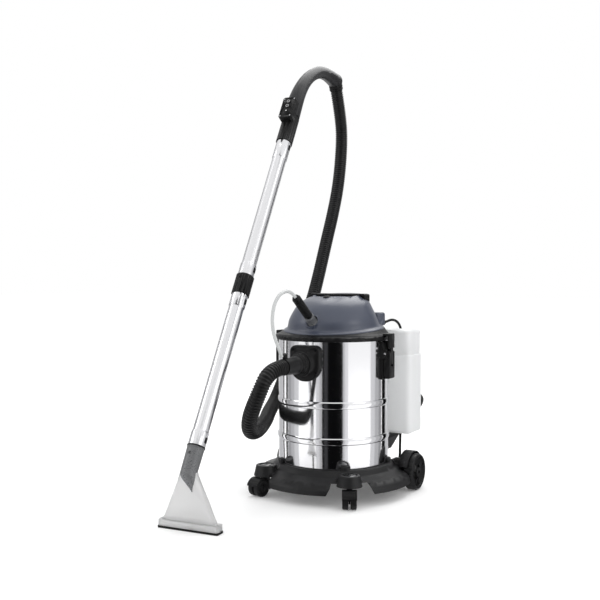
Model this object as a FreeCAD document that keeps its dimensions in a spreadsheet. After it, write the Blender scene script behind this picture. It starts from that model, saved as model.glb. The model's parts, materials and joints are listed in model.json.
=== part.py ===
import FreeCAD, Part
import math
import os
import re

import Sketcher
from FreeCAD import Placement, Rotation, Vector

# Spot extractor: a steel drum on a wheeled trolley, a lift-off suction head,
# a solution tank behind the drum, and a wand on a ribbed hose.
# Machine frame: drum axis at X 0, front towards -Y, +Z up, floor at Z 0.
# The drum axis stands axis_shift behind the model's origin.

doc = FreeCAD.newDocument("SpotExtractor")
sheet = doc.addObject("Spreadsheet::Sheet", "Sizes")

SIZES = [
    ("axis_shift", 76.3, "drum axis behind the origin"),
    ("fit_gap", 0.3, "space between pieces that only rest near each other"),
    ("run_gap", 0.05, "radial clearance of a shaft in its bore"),
    ("slide_gap", 0.3, "space round a sliding button"),

    ("drum_radius", 145.0, "outside of the steel drum"),
    ("drum_wall", 0.8, "steel thickness"),
    ("drum_floor", 61.0, "height of the drum's floor"),
    ("drum_top", 404.0, "height of the drum's rolled rim"),
    ("rim_roll", 2.4, "radius of the rolled rim"),
    ("bead_depth", 3.0, "how far a bead stands out"),
    ("bead_half", 9.0, "half height of a bead"),
    ("bead_high", 240.0, "height of the upper bead"),
    ("bead_low", 149.0, "height of the lower bead"),

    ("base_under", 57.0, "underside of the trolley's pan"),
    ("base_floor_wall", 4.0, "thickness of the trolley's pan"),
    ("base_rim_top", 79.0, "top of the trolley's rim"),
    ("base_rim_inner", 145.3, "inside of the trolley's rim"),
    ("base_rim_outer", 151.0, "outside of the rim at its top"),
    ("skirt_radius", 208.0, "outside of the skirt at its lower edge"),
    ("skirt_low", 30.0, "lower edge of the skirt"),
    ("skirt_wall", 3.0, "thickness of the skirt"),
    ("clip_width", 22.0, "width of a drum clip"),
    ("clip_high", 11.0, "height of a drum clip over the rim"),
    ("clip_wall", 7.0, "thickness of a drum clip"),

    ("pod_x", 120.0, "caster pod to the side of the drum axis"),
    ("pod_y", 144.0, "caster pod in front of the drum axis"),
    ("pod_top_radius", 26.0, "radius of a caster pod at its top"),
    ("pod_foot_radius", 32.0, "radius of a caster pod at its underside"),
    ("pod_top", 77.0, "top of a caster pod"),
    ("pod_under", 50.0, "underside of a caster pod"),
    ("pod_cap_radius", 19.0, "radius of the cap on a pod"),
    ("pod_cap_wall", 3.0, "thickness of the cap on a pod"),
    ("notch_low_half", 62.0, "half width of the skirt's notch at its foot"),
    ("notch_high_half", 46.0, "half width of the skirt's notch at its head"),

    ("caster_radius", 22.0, "radius of a caster wheel"),
    ("caster_trail", 27.0, "caster axle beside its stem"),
    ("caster_wheel_wide", 15.0, "width of one caster disc"),
    ("caster_web", 5.0, "web between the two caster discs"),
    ("caster_axle_radius", 3.0, "radius of the caster axle"),
    ("caster_stem_radius", 5.0, "radius of the caster stem"),
    ("caster_stem_long", 21.0, "length of the stem inside its pod"),
    ("caster_left_turn", 14.0, "left caster's trail from straight ahead, degrees"),
    ("caster_right_turn", -27.0, "right caster's trail from straight ahead, degrees"),

    ("wheel_radius", 47.5, "radius of a rear wheel"),
    ("wheel_wide", 28.0, "width of a rear wheel"),
    ("wheel_outer_x", 207.0, "outer face of a rear wheel"),
    ("wheel_y", 93.0, "rear axle behind the drum axis"),
    ("axle_radius", 4.0, "radius of the rear axle"),
    ("arm_inner_x", 132.0, "inner face of a rear arm"),
    ("arm_half", 23.0, "half length of a rear arm along Y"),
    ("fender_radius", 54.5, "outside of a fender over its wheel"),
    ("fender_wall", 3.5, "thickness of a fender"),
    ("holder_x", 148.0, "tool holder to the side of the drum axis"),
    ("holder_y", 86.0, "tool holder behind the drum axis"),
    ("holder_top", 78.0, "top of a tool holder"),
    ("holder_radius", 12.0, "outside of a tool holder"),
    ("holder_bore", 9.0, "radius of a tool holder's bore"),
    ("holder_deep", 17.0, "depth of a tool holder's bore"),

    ("inlet_high", 345.0, "height of the hose inlet"),
    ("flange_half_wide", 42.0, "half width of the inlet flange"),
    ("flange_half_high", 45.0, "half height of the inlet flange"),
    ("flange_depth", 14.0, "flange in front of the drum"),
    ("inlet_bore", 21.5, "radius of the inlet's bore"),
    ("inlet_collar", 31.0, "radius of the inlet's collar"),
    ("inlet_collar_long", 20.0, "collar in front of the flange"),
    ("cuff_radius", 26.0, "radius of the hose cuff's ring"),
    ("cuff_bore", 16.0, "bore of the cuffs and the hose"),
    ("cuff_long", 80.0, "hose cuff in front of the collar"),
    ("hose_radius", 19.0, "outside of the hose's ribs"),
    ("hose_root", 16.9, "outside of the hose between ribs"),
    ("barb_long", 18.0, "length of the barb on the hose cuff"),
    ("latch_half", 20.0, "half width of a latch"),
    ("latch_pin_out", 13.0, "lever's pin outside the drum"),
    ("latch_pin_high", 366.0, "height of the lever's pin"),
    ("hook_out", 8.0, "hook's pin outside the lever's pin"),
    ("hook_down", 23.0, "hook's pin below the lever's pin"),

    ("ring_low", 399.0, "lower edge of the lid ring"),
    ("ring_flange_top", 411.5, "top of the lid ring's flange"),
    ("ring_radius", 154.0, "outside of the lid ring's flange"),
    ("ring_step_radius", 147.0, "outside of the lid ring's step"),
    ("ring_top", 424.0, "top of the lid ring"),
    ("pot_radius", 80.0, "outside of the motor pot"),
    ("pot_floor", 345.0, "underside of the motor pot"),
    ("pot_wall", 3.0, "thickness of the lid's moulding"),
    ("eye_radius", 22.0, "suction hole in the pot's floor"),

    ("cover_radius", 133.0, "foot of the motor cover"),
    ("cover_tilt", 4.0, "motor cover raised towards the rear, degrees"),
    ("cover_top", 508.0, "top of the motor cover"),
    ("cover_wall", 3.0, "thickness of the motor cover"),
    ("dish_radius", 72.0, "radius of the dish in the cover's top"),
    ("dish_high", 564.0, "height of the dish's axis"),
    ("dish_y", 32.0, "dish behind the drum axis"),
    ("dish_half", 60.0, "half length of the dish"),
    ("handle_half", 78.0, "half length of the carrying handle"),
    ("handle_wide", 30.0, "width of the carrying handle"),
    ("handle_thick", 7.0, "thickness of the carrying handle"),
    ("handle_top", 517.0, "top of the carrying handle"),
    ("handle_y", 30.0, "carrying handle behind the drum axis"),
    ("outlet_radius", 13.0, "outside of the spray outlet"),
    ("gland_radius", 6.0, "radius of the strain relief's seat"),
    ("gland_x", 85.0, "mains cord to the side of the drum axis"),
    ("gland_high", 437.0, "height of the mains cord's way out"),
    ("switch_radius", 10.0, "radius of the power switch"),
    ("switch_y", -37.0, "power switch behind the drum axis"),

    ("motor_radius", 46.0, "outside of the motor's can"),
    ("turbine_radius", 70.0, "outside of the turbine's housing"),
    ("turbine_high", 34.0, "height of the turbine's housing"),
    ("motor_top", 452.0, "top of the motor's can"),
    ("shaft_radius", 4.0, "radius of the motor's shaft"),
    ("fan_radius", 62.0, "radius of the suction fan"),
    ("fan_high", 18.0, "height of the suction fan"),
    ("cooling_radius", 36.0, "radius of the cooling fan"),

    ("cage_radius", 34.0, "outside of the float cage"),
    ("cage_wall", 2.5, "thickness of the float cage"),
    ("cage_low", 282.0, "underside of the float cage"),
    ("float_radius", 25.0, "radius of the float"),
    ("filter_radius", 50.0, "outside of the foam filter"),
    ("drain_radius", 10.0, "hole in the float cage's floor"),

    ("tank_half", 165.0, "half width of the solution tank"),
    ("tank_front", 128.0, "front face of the tank's wings"),
    ("tank_back", 218.0, "rear face of the tank"),
    ("tank_low", 136.0, "underside of the tank"),
    ("tank_high", 417.0, "top of the tank"),
    ("tank_step", 351.0, "height of the tank's shoulder"),
    ("tank_hug", 161.0, "radius of the hollow round the drum"),
    ("tank_wall", 2.5, "thickness of the tank"),
    ("cap_radius", 28.0, "radius of the tank's cap"),
    ("cap_long", 42.0, "cap behind the tank"),
    ("cap_x", 134.0, "cap to the side of the drum axis"),
    ("cap_high", 214.0, "height of the cap's axis"),
    ("filler_radius", 22.0, "outside of the tank's filler neck"),
    ("shelf_wall", 8.0, "thickness of the tank's shelf"),
    ("shelf_half", 118.0, "half width of the tank's shelf"),
    ("feed_y", 154.5, "feed tube behind the drum axis"),
    ("feed_radius", 4.0, "radius of the feed tube"),
    ("plug_tip", 8.0, "bore of the spray outlet"),
    ("plug_long", 110.0, "spray plug outside its socket"),
    ("plug_core", 8.0, "radius of the spray plug's stem"),
    ("plug_sleeve", 11.2, "radius of the spray plug's barrel"),
    ("collar_radius", 12.5, "outside of the release collar"),
    ("collar_low", 4.3, "release collar's near end along the plug"),
    ("collar_high", 26.3, "release collar's far end along the plug"),
    ("collar_travel", 4.0, "travel of the release collar"),

    ("wand_x", -98.0, "nozzle to the side of the drum axis"),
    ("wand_y", -500.0, "nozzle in front of the drum axis"),
    ("wand_turn", 5.0, "wand's plane turned about the vertical, degrees"),
    ("wand_lean", 31.2, "tubes' lean from the vertical, degrees"),
    ("tube_radius", 18.8, "outside of an extension tube"),
    ("tube_wall", 1.2, "wall of an extension tube"),
    ("bell_radius", 20.2, "outside of a tube's belled end"),
    ("top_bell_long", 52.0, "length of the upper tube's top bell"),
    ("bell_long", 32.0, "length of a belled end"),
    ("sleeve_radius", 22.5, "outside of a black sleeve"),
    ("tube_foot_y", 32.6, "lower tube's end behind the nozzle lip"),
    ("tube_foot_z", 181.8, "height of the lower tube's end"),
    ("lower_tube_long", 390.0, "length of the lower tube"),
    ("middle_gap", 54.0, "space between the two tubes"),
    ("upper_tube_long", 419.0, "length of the upper tube"),
    ("handle_sleeve_long", 87.0, "black sleeve above the upper tube"),
    ("snap_half", 4.0, "half width of a snap button"),
    ("snap_long_half", 6.5, "half length of a snap button"),

    ("box_half", 19.0, "half width of the control box"),
    ("box_long", 71.0, "length of the control box"),
    ("box_face", 36.0, "control box's face in front of the tubes' line"),
    ("sleeve_over_box", 25.0, "the sleeve's top above the control box's lower end"),
    ("grip_wall", 3.0, "wall of the handle's grip"),
    ("swivel_long", 16.0, "length of the swivel cuff"),
    ("box_screw_x", 14.5, "box's screws to the side"),
    ("box_screw_in", 6.0, "box's screws from its ends"),
    ("spray_button_at", 55.0, "spray button above the box's lower end"),
    ("stop_button_at", 39.0, "stop button above the box's lower end"),
    ("button_radius", 6.0, "radius of a control button"),

    ("lip_half", 77.0, "half width of the nozzle's lip"),
    ("lip_deep", 26.0, "front to back size of the nozzle's lip"),
    ("lip_high", 15.0, "height of the nozzle's lip"),
    ("squeegee_high", 5.0, "height of the rubber strip"),
    ("nozzle_wall", 2.2, "wall of the clear nozzle"),
    ("neck_floor", 130.0, "height of the joint of neck and nozzle"),
    ("neck_top_radius", 20.0, "nozzle neck's radius at its top"),
    ("neck_foot_radius", 18.9, "nozzle neck's radius at its foot"),
    ("jet_radius", 1.9, "radius of the spray jet"),
    ("jet_in", 2.3, "spray jet inside the lip's rear face"),

    ("cord_radius", 3.7, "radius of the mains cord"),
    ("coil_mid", 44.0, "radius of the coil at the middle of its turns"),
    ("coil_pitch", 9.2, "step between the coil's turns"),
    ("solution_radius", 4.2, "radius of the solution tube"),
    ("mains_plug_out", 88.0, "mains plug from the coil's centre"),
    ("mains_plug_high", 10.6, "height of the mains plug's axis"),
]

sheet.set("A1", "name")
sheet.set("B1", "millimetres or degrees")
sheet.set("C1", "what it sets")
for row, (alias, value, meaning) in enumerate(SIZES, start=2):
    sheet.set("A%d" % row, alias)
    sheet.set("B%d" % row, str(value))
    sheet.set("C%d" % row, meaning)
    sheet.setAlias("B%d" % row, alias)
doc.recompute()

ALIASES = {alias for alias, value, meaning in SIZES}
NODES = []


# Sizes and expressions

def bound(text):
    """An expression over the sheet, from one that names the sizes alone."""
    def full(match):
        word = match.group(0)
        return "Sizes." + word if word in ALIASES else word
    return re.sub(r"[a-z][a-z_0-9]*", full, str(text))


def size(text):
    """The value of an expression over the sheet."""
    return float(sheet.evalExpression(bound(text)))


def link(thing, prop, text):
    thing.setExpression(prop, bound(text))


def seat(thing, x="0", y="0", z="0", turn=None):
    """Place a sub-part from sizes, in the machine frame."""
    if turn is not None:
        thing.Placement = Placement(Vector(), turn)
    link(thing, ".Placement.Base.x", x)
    link(thing, ".Placement.Base.y", "axis_shift + (%s)" % y)
    link(thing, ".Placement.Base.z", z)


def named(thing, label):
    thing.Label = label
    NODES.append(thing)
    return thing


# Sketches and bodies

def new_body(label):
    return named(doc.addObject("PartDesign::Body", "Body_" + label), label)


def origin_item(body, role):
    return [item for item in body.Origin.OriginFeatures if item.Role == role][0]


def new_sketch(body, role, lift="0"):
    sketch = body.newObject("Sketcher::SketchObject", "Sketch")
    sketch.AttachmentSupport = (origin_item(body, role), [""])
    sketch.MapMode = "FlatFace"
    link(sketch, ".AttachmentOffset.Base.z", lift)
    return sketch


def tie(sketch, kind, geometry, point, text):
    """Hold a point's distance from the sketch's origin to an expression."""
    value = size(text)
    axis = -2 if kind == "DistanceX" else -1
    if abs(value) < 1e-9:
        sketch.addConstraint(Sketcher.Constraint("PointOnObject", geometry, point, axis))
        return
    index = sketch.addConstraint(Sketcher.Constraint(kind, -1, 1, geometry, point, value))
    sketch.setExpression("Constraints[%d]" % index, bound(text))


def outline(sketch, corners):
    """A closed outline of straight edges whose corners are expressions."""
    places = [Vector(size(x), size(y), 0) for x, y in corners]
    count = len(places)
    first = sketch.GeometryCount
    edges = [Part.LineSegment(places[i], places[(i + 1) % count]) for i in range(count)]
    sketch.addGeometry(edges, False)
    joins = [Sketcher.Constraint("Coincident", first + i, 2, first + (i + 1) % count, 1)
             for i in range(count)]
    sketch.addConstraint(joins)
    for i, (x, y) in enumerate(corners):
        tie(sketch, "DistanceX", first + i, 1, x)
        tie(sketch, "DistanceY", first + i, 1, y)


def ring_line(sketch, radius, x="0", y="0"):
    """A circle whose centre and radius are expressions."""
    centre = Vector(size(x), size(y), 0)
    index = sketch.GeometryCount
    sketch.addGeometry(Part.Circle(centre, Vector(0, 0, 1), size(radius)), False)
    tie(sketch, "DistanceX", index, 3, x)
    tie(sketch, "DistanceY", index, 3, y)
    held = sketch.addConstraint(Sketcher.Constraint("Radius", index, size(radius)))
    sketch.setExpression("Constraints[%d]" % held, bound(radius))


def turn_profile(body, corners):
    """Revolve an outline of (radius, height) corners about the body's Z axis."""
    sketch = new_sketch(body, "XZ_Plane")
    outline(sketch, corners)
    turned = body.newObject("PartDesign::Revolution", "Turned")
    turned.Profile = (sketch, [""])
    turned.ReferenceAxis = (sketch, ["V_Axis"])
    turned.Angle = 360
    doc.recompute()
    return turned


def pad(body, sketch, length):
    padded = body.newObject("PartDesign::Pad", "Pad")
    padded.Profile = (sketch, [""])
    link(padded, "Length", length)
    doc.recompute()
    return padded


def cut_through(body, sketch):
    """Cut a sketch through all, the way that takes material away."""
    before = body.Shape.Volume
    pocket = body.newObject("PartDesign::Pocket", "Pocket")
    pocket.Profile = (sketch, [""])
    pocket.Type = "ThroughAll"
    pocket.SideType = "Symmetric"
    doc.recompute()
    if body.Shape.Volume > before - 1e-6:
        raise RuntimeError("a pocket in %s cuts nothing" % body.Label)
    return pocket


def solid_feature(label, shape):
    """A sub-part whose shape is made with Part's own functions."""
    feature = doc.addObject("Part::Feature", "Solid_" + label)
    feature.Shape = shape
    return named(feature, label)


def machine_piece(label, shape):
    """A Part feature made in the machine frame."""
    feature = solid_feature(label, shape)
    seat(feature)
    return feature


# Shapes made with Part

def cylinder(radius, length, base=(0, 0, 0), axis=(0, 0, 1)):
    return Part.makeCylinder(radius, length, Vector(*base), Vector(*axis))


def box(low, high):
    spans = [b - a for a, b in zip(low, high)]
    return Part.makeBox(spans[0], spans[1], spans[2], Vector(*low))


def rounded_box(low, high, radius, edges="z"):
    """A box with the edges along one axis rounded, or all its edges."""
    solid = box(low, high)
    picked = []
    for edge in solid.Edges:
        run = edge.Vertexes[1].Point - edge.Vertexes[0].Point
        along = {"x": abs(run.x), "y": abs(run.y), "z": abs(run.z)}
        if edges == "all" or along[edges] > 1e-6:
            picked.append(edge)
    return solid.makeFillet(radius, picked)


def revolved(corners):
    """A solid of revolution about Z from (radius, height) numbers."""
    points = [Vector(r, 0, z) for r, z in corners]
    wire = Part.makePolygon(points + [points[0]])
    return Part.Face(wire).revolve(Vector(), Vector(0, 0, 1), 360)


def oval(centre, half_x, half_y, tilt=None, power=2.0):
    """A closed wire: an ellipse, or a squarer oval with a higher power."""
    points = []
    steps = 24
    for i in range(steps):
        angle = 2 * math.pi * i / steps
        c = math.cos(angle)
        s = math.sin(angle)
        x = half_x * math.copysign(abs(c) ** (2 / power), c)
        y = half_y * math.copysign(abs(s) ** (2 / power), s)
        points.append(Vector(x, y, 0))
    curve = Part.BSplineCurve()
    curve.interpolate(points, PeriodicFlag=True)
    wire = Part.Wire([curve.toShape()])
    wire.Placement = Placement(Vector(*centre), tilt or Rotation())
    return wire


def loft(wires, ruled=False):
    return Part.makeLoft(wires, True, ruled)


# The route of a cord, hose or tube: straight runs joined by tangent arcs

class Route:
    """Runs and arcs through chosen points, measured along its length."""

    def __init__(self, label, points, share=0.45):
        self.pieces = []
        places = [Vector(*p) for p in points]
        radii = []
        start = places[0]
        for i in range(1, len(places) - 1):
            into = places[i] - places[i - 1]
            away = places[i + 1] - places[i]
            turn = into.getAngle(away)
            shorter = min(into.Length, away.Length)
            trim = share * shorter
            radius = trim / math.tan(turn / 2)
            radii.append(radius)
            into.normalize()
            away.normalize()
            first = places[i] - into * trim
            last = places[i] + away * trim
            inward = away - into * away.dot(into)
            inward.normalize()
            centre = first + inward * radius
            self.pieces.append(("run", start, first, (first - start).Length))
            self.pieces.append(("arc", first, centre, into, inward, radius, turn, last))
            start = last
        self.pieces.append(("run", start, places[-1], (places[-1] - start).Length))
        self.length = sum(self.span(piece) for piece in self.pieces)
        self.radii = radii
        print("%s: length %.0f mm, radii %s" % (label, self.length,
                                                " ".join("%.0f" % r for r in radii)))

    def span(self, piece):
        return piece[3] if piece[0] == "run" else piece[5] * piece[6]

    def at(self, distance):
        """The place and the direction at a distance from the start."""
        left = min(max(distance, 0.0), self.length)
        for piece in self.pieces:
            span = self.span(piece)
            if left <= span + 1e-9 or piece is self.pieces[-1]:
                break
            left -= span
        if piece[0] == "run":
            heading = piece[2] - piece[1]
            heading.normalize()
            return piece[1] + heading * left, heading
        kind, first, centre, into, inward, radius, turn, last = piece
        angle = left / radius
        place = centre - inward * radius * math.cos(angle) + into * radius * math.sin(angle)
        heading = into * math.cos(angle) + inward * math.sin(angle)
        return place, heading

    def wire(self):
        edges = []
        for piece in self.pieces:
            if piece[0] == "run":
                edges.append(Part.LineSegment(piece[1], piece[2]).toShape())
            else:
                first = piece[1]
                last = piece[7]
                middle = self.middle_of(piece)
                edges.append(Part.Arc(first, middle, last).toShape())
        return Part.Wire(edges)

    def middle_of(self, piece):
        kind, first, centre, into, inward, radius, turn, last = piece
        angle = turn / 2
        return centre - inward * radius * math.cos(angle) + into * radius * math.sin(angle)

    def tube(self, radius):
        """A round tube along the route, checked against section times length."""
        start, heading = self.at(0)
        circle = Part.Wire([Part.Circle(start, heading, radius).toShape()])
        solid = self.wire().makePipeShell([circle], True, False)
        expected = math.pi * radius ** 2 * self.length
        if abs(solid.Volume / expected - 1) > 0.01:
            raise RuntimeError("a tube's volume is off its section times its length")
        return solid

    def circles(self, stations):
        """Circles square to the route, on a steady X axis."""
        wires = []
        across = None
        for distance, radius in stations:
            place, heading = self.at(distance)
            if across is None:
                across = heading.cross(Vector(0.3, 0.2, 1.0))
            across = across - heading * across.dot(heading)
            across.normalize()
            circle = Part.Circle(place, heading, radius)
            circle.XAxis = across
            wires.append(Part.Wire([circle.toShape()]))
        return wires


# Trolley

def trolley_section():
    """Half section of the trolley: pan, rim and flared skirt."""
    spread = "base_rim_outer + %s * (skirt_radius - base_rim_outer)"
    outer = [("base_rim_outer", "base_rim_top"), (spread % 0.05, "base_rim_top - 3"),
             (spread % 0.175, "base_rim_top - 11.5"), (spread % 0.42, "base_rim_top - 17.5"),
             (spread % 0.77, "base_rim_top - 24"), (spread % 0.93, "base_rim_top - 32"),
             ("skirt_radius", "skirt_low")]
    inner = [("skirt_radius - skirt_wall", "skirt_low"),
             (spread % 0.93 + " - skirt_wall", "base_rim_top - 34"),
             (spread % 0.77 + " - 2", "base_rim_top - 27.5"),
             (spread % 0.42 + " - 1", "base_rim_top - 21"),
             (spread % 0.175 + " - 2", "base_rim_top - 15.5"),
             (spread % 0.02, "base_rim_top - 8"),
             ("base_rim_inner + skirt_wall", "base_rim_top - 8"),
             ("base_rim_inner + skirt_wall", "base_under")]
    pan_top = "base_under + base_floor_wall"
    pan = [("0", "base_under"), ("0", pan_top), ("base_rim_inner", pan_top),
           ("base_rim_inner", "base_rim_top")]
    return inner + pan + outer


def base_trolley():
    """Black moulded trolley that the drum stands in."""
    corners = [(size(r), size(z)) for r, z in trolley_section()]
    solid = revolved(corners)
    pod_x = size("pod_x")
    pod_y = size("pod_y")
    pod_top = size("pod_top")
    pod_under = size("pod_under")
    cap_radius = size("pod_cap_radius") + size("fit_gap")
    stem_bore = size("caster_stem_radius + run_gap")
    notch_start = math.hypot(pod_x, pod_y) - 40
    low_half = size("notch_low_half")
    high_half = size("notch_high_half")
    skirt_low = size("skirt_low")
    notch_top = size("base_under") - 0.5
    for side in (-1, 1):
        heading = math.degrees(math.atan2(side * pod_x, pod_y))
        notch = Part.makePolygon([Vector(-low_half, 0, skirt_low - 1),
                                  Vector(low_half, 0, skirt_low - 1),
                                  Vector(high_half, 0, notch_top),
                                  Vector(-high_half, 0, notch_top),
                                  Vector(-low_half, 0, skirt_low - 1)])
        notch_deep = size("skirt_radius") + 20 - notch_start
        wedge = Part.Face(notch).extrude(Vector(0, -notch_deep, 0))
        wedge.translate(Vector(0, -notch_start, 0))
        wedge.rotate(Vector(), Vector(0, 0, 1), heading)
        solid = solid.cut(wedge)
    solid = wheel_wells(solid)
    for side in (-1, 1):
        pod = Part.makeCone(size("pod_foot_radius"), size("pod_top_radius"),
                            pod_top - pod_under, Vector(side * pod_x, -pod_y, pod_under))
        top_edge = [e for e in pod.Edges if e.BoundBox.ZMin > pod_top - 1e-3]
        pod = pod.makeFillet(3, top_edge)
        solid = solid.fuse(pod)
    for side in (-1, 1):
        solid = solid.fuse(rear_arm(side))
        boss, well = tool_holder(side)
        solid = solid.fuse(boss).cut(well)
    front_clip = math.degrees(math.atan2(pod_x, pod_y))
    for angle in (front_clip, -front_clip, 104, -104, 180):
        solid = solid.fuse(drum_clip(angle))
    drum_hole = cylinder(size("base_rim_inner"), size("clip_high") + 60,
                         (0, 0, size("base_under + base_floor_wall")))
    solid = solid.cut(drum_hole)
    for side in (-1, 1):
        recess = cylinder(cap_radius, 10, (side * pod_x, -pod_y,
                                           pod_top - size("pod_cap_wall") - 1.2))
        stem_hole = cylinder(stem_bore, size("caster_stem_long") + 2,
                             (side * pod_x, -pod_y, pod_under - 2))
        solid = solid.cut(recess).cut(stem_hole)
    axle_hole = cylinder(size("axle_radius + run_gap"), 420,
                         (-210, size("wheel_y"), size("wheel_radius")), (1, 0, 0))
    solid = solid.cut(axle_hole)
    return machine_piece("base_trolley", solid)


def drum_clip(angle):
    """One upstand of the rim that grips the drum's foot."""
    wide = size("clip_width")
    inner = size("base_rim_inner") - 3
    outer = size("base_rim_inner") + size("clip_wall")
    low = size("base_rim_top") - 8
    high = size("base_rim_top") + size("clip_high")
    clip = box((-wide / 2, -outer, low), (wide / 2, -inner, high))
    upper = [e for e in clip.Edges if e.BoundBox.ZMin > high - 1e-3
             and e.BoundBox.YMax < -outer + 1e-3]
    clip = clip.makeFillet(4, upper)
    clip.rotate(Vector(), Vector(0, 0, 1), angle)
    return clip


def tool_holder(side):
    """Round boss on a rear arm, and the socket in it for a spare tool's foot."""
    deep = size("holder_deep")
    low = (side * size("holder_x"), size("holder_y"), size("holder_top") - deep)
    return cylinder(size("holder_radius"), deep, low), cylinder(size("holder_bore"), deep + 5, low)


def rear_arm(side):
    """Arm to a rear wheel, with a fender over the wheel."""
    axle_z = size("wheel_radius")
    axle_y = size("wheel_y")
    half = size("arm_half")
    inner = size("arm_inner_x")
    wheel_inner = size("wheel_outer_x - wheel_wide")
    outer = wheel_inner - 4
    fender = size("fender_radius")
    wall = size("fender_wall")
    block = rounded_box((inner, axle_y - half, axle_z - 12),
                        (outer, axle_y + half, size("base_rim_top") - 3), 5, "x")
    boss = cylinder(12, outer + 3.5 - inner, (inner, axle_y, axle_z), (1, 0, 0))
    shade = cylinder(fender, 26, (outer - 8, axle_y, axle_z), (1, 0, 0))
    hollow = cylinder(fender - wall, 40, (outer - 5, axle_y, axle_z), (1, 0, 0))
    keep = box((outer - 40, axle_y - fender, axle_z + 20),
               (outer + 40, axle_y + fender, axle_z + 80))
    shade = shade.cut(hollow).common(keep)
    arm = block.fuse([boss, shade])
    if side < 0:
        arm = arm.mirror(Vector(), Vector(1, 0, 0))
    return arm


def wheel_wells(solid):
    """Open the skirt round the rear wheels."""
    reach = size("wheel_radius") + 6
    inner = size("wheel_outer_x - wheel_wide") - 4
    for side in (-1, 1):
        low, high = sorted((side * inner, side * (size("skirt_radius") + 32)))
        well = box((low, size("wheel_y") - reach, 0), (high, size("wheel_y") + reach, 99))
        solid = solid.cut(well)
    return solid


def pod_caps():
    """Pale oval caps let into the caster pods."""
    body = new_body("pod_caps")
    sketch = new_sketch(body, "XY_Plane")
    ring_line(sketch, "pod_cap_radius", "pod_x", "-pod_y")
    pad(body, sketch, "pod_cap_wall")
    twin = body.newObject("PartDesign::Mirrored", "Twin")
    twin.Originals = [body.Tip]
    twin.MirrorPlane = (origin_item(body, "YZ_Plane"), [""])
    body.Tip = twin
    doc.recompute()
    seat(body, z="pod_top - pod_cap_wall - 0.9")
    return body


# Casters

def caster_fork(label, side, turn):
    """Hooded fork with its stem; the stem stands on the pod's axis."""
    radius = size("caster_radius")
    trail = size("caster_trail")
    disc = size("caster_wheel_wide")
    web = size("caster_web")
    axle_z = radius
    ceiling = size("pod_under") - 0.3
    stem = cylinder(size("caster_stem_radius"), size("caster_stem_long") + 0.3,
                    (0, 0, ceiling - 1.0))
    collar = cylinder(9, 5, (0, 0, ceiling - 5))
    hood = cylinder(radius + 3.0, web - 0.8, (-(web - 0.8) / 2, -trail, axle_z), (1, 0, 0))
    cap_half = disc + web / 2 + 0.6
    shell = cylinder(radius + 3.2, 2 * cap_half, (-cap_half, -trail, axle_z), (1, 0, 0))
    room = cylinder(radius + 1.2, 2 * cap_half + 4, (-cap_half - 2, -trail, axle_z), (1, 0, 0))
    shell = shell.cut(room)
    upper = box((-40, -trail - 40, axle_z + 6), (40, -trail + 40, axle_z + 60))
    rear = box((-40, -trail - 2, axle_z - 6), (40, -trail + 40, axle_z + 60))
    shell = shell.common(upper.fuse(rear))
    web_keep = box((-40, -trail - 8, axle_z - 8), (40, -trail + 40, axle_z + 60))
    web_wall = hood.common(web_keep)
    neck = box((-7, -trail + radius - 8, axle_z + 8), (7, 7, ceiling - 4))
    neck = neck.cut(room)
    axle = cylinder(size("caster_axle_radius"), 2 * cap_half - 2,
                    (-cap_half + 1, -trail, axle_z), (1, 0, 0))
    solid = shell.fuse([web_wall, neck, collar, stem, axle])
    solid = solid.common(box((-60, -90, 1), (60, 60, 120)))
    feature = solid_feature(label, solid.removeSplitter())
    seat(feature, "%d * pod_x" % side, "-pod_y", "0",
         Rotation(Vector(0, 0, 1), -size(turn)))
    return feature


def caster_wheel(label, side, turn):
    """Two discs that run on the fork's axle, joined by a thin hub."""
    radius = size("caster_radius")
    trail = size("caster_trail")
    disc = size("caster_wheel_wide")
    web = size("caster_web")
    bore = size("caster_axle_radius + run_gap")
    discs = []
    for way in (-1, 1):
        inner = way * web / 2
        start = inner if way > 0 else inner - disc
        body = cylinder(radius, disc, (start, -trail, radius), (1, 0, 0))
        rims = [e for e in body.Edges if abs(e.Length - 2 * math.pi * radius) < 0.1]
        body = body.makeFillet(2.5, rims)
        dish = cylinder(radius - 6, 2.2, (start + (disc - 2.2 if way > 0 else 0),
                                          -trail, radius), (1, 0, 0))
        hub = cylinder(7, 2.2, (start + (disc - 2.2 if way > 0 else 0), -trail, radius), (1, 0, 0))
        discs.append(body.cut(dish.cut(hub)))
    hole = cylinder(bore, 60, (-30, -trail, radius), (1, 0, 0))
    solid = Part.makeCompound([piece.cut(hole) for piece in discs])
    feature = solid_feature(label, solid)
    seat(feature, "%d * pod_x" % side, "-pod_y", "0",
         Rotation(Vector(0, 0, 1), -size(turn)))
    return feature


# Rear wheels

def rear_axle():
    """Steel rod across the trolley."""
    rod = named(doc.addObject("Part::Cylinder", "RearAxle"), "rear_axle")
    link(rod, "Radius", "axle_radius")
    link(rod, "Height", "2 * (wheel_outer_x - 5)")
    seat(rod, "-(wheel_outer_x - 5)", "wheel_y", "wheel_radius",
         Rotation(Vector(0, 1, 0), 90))
    return rod


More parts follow.
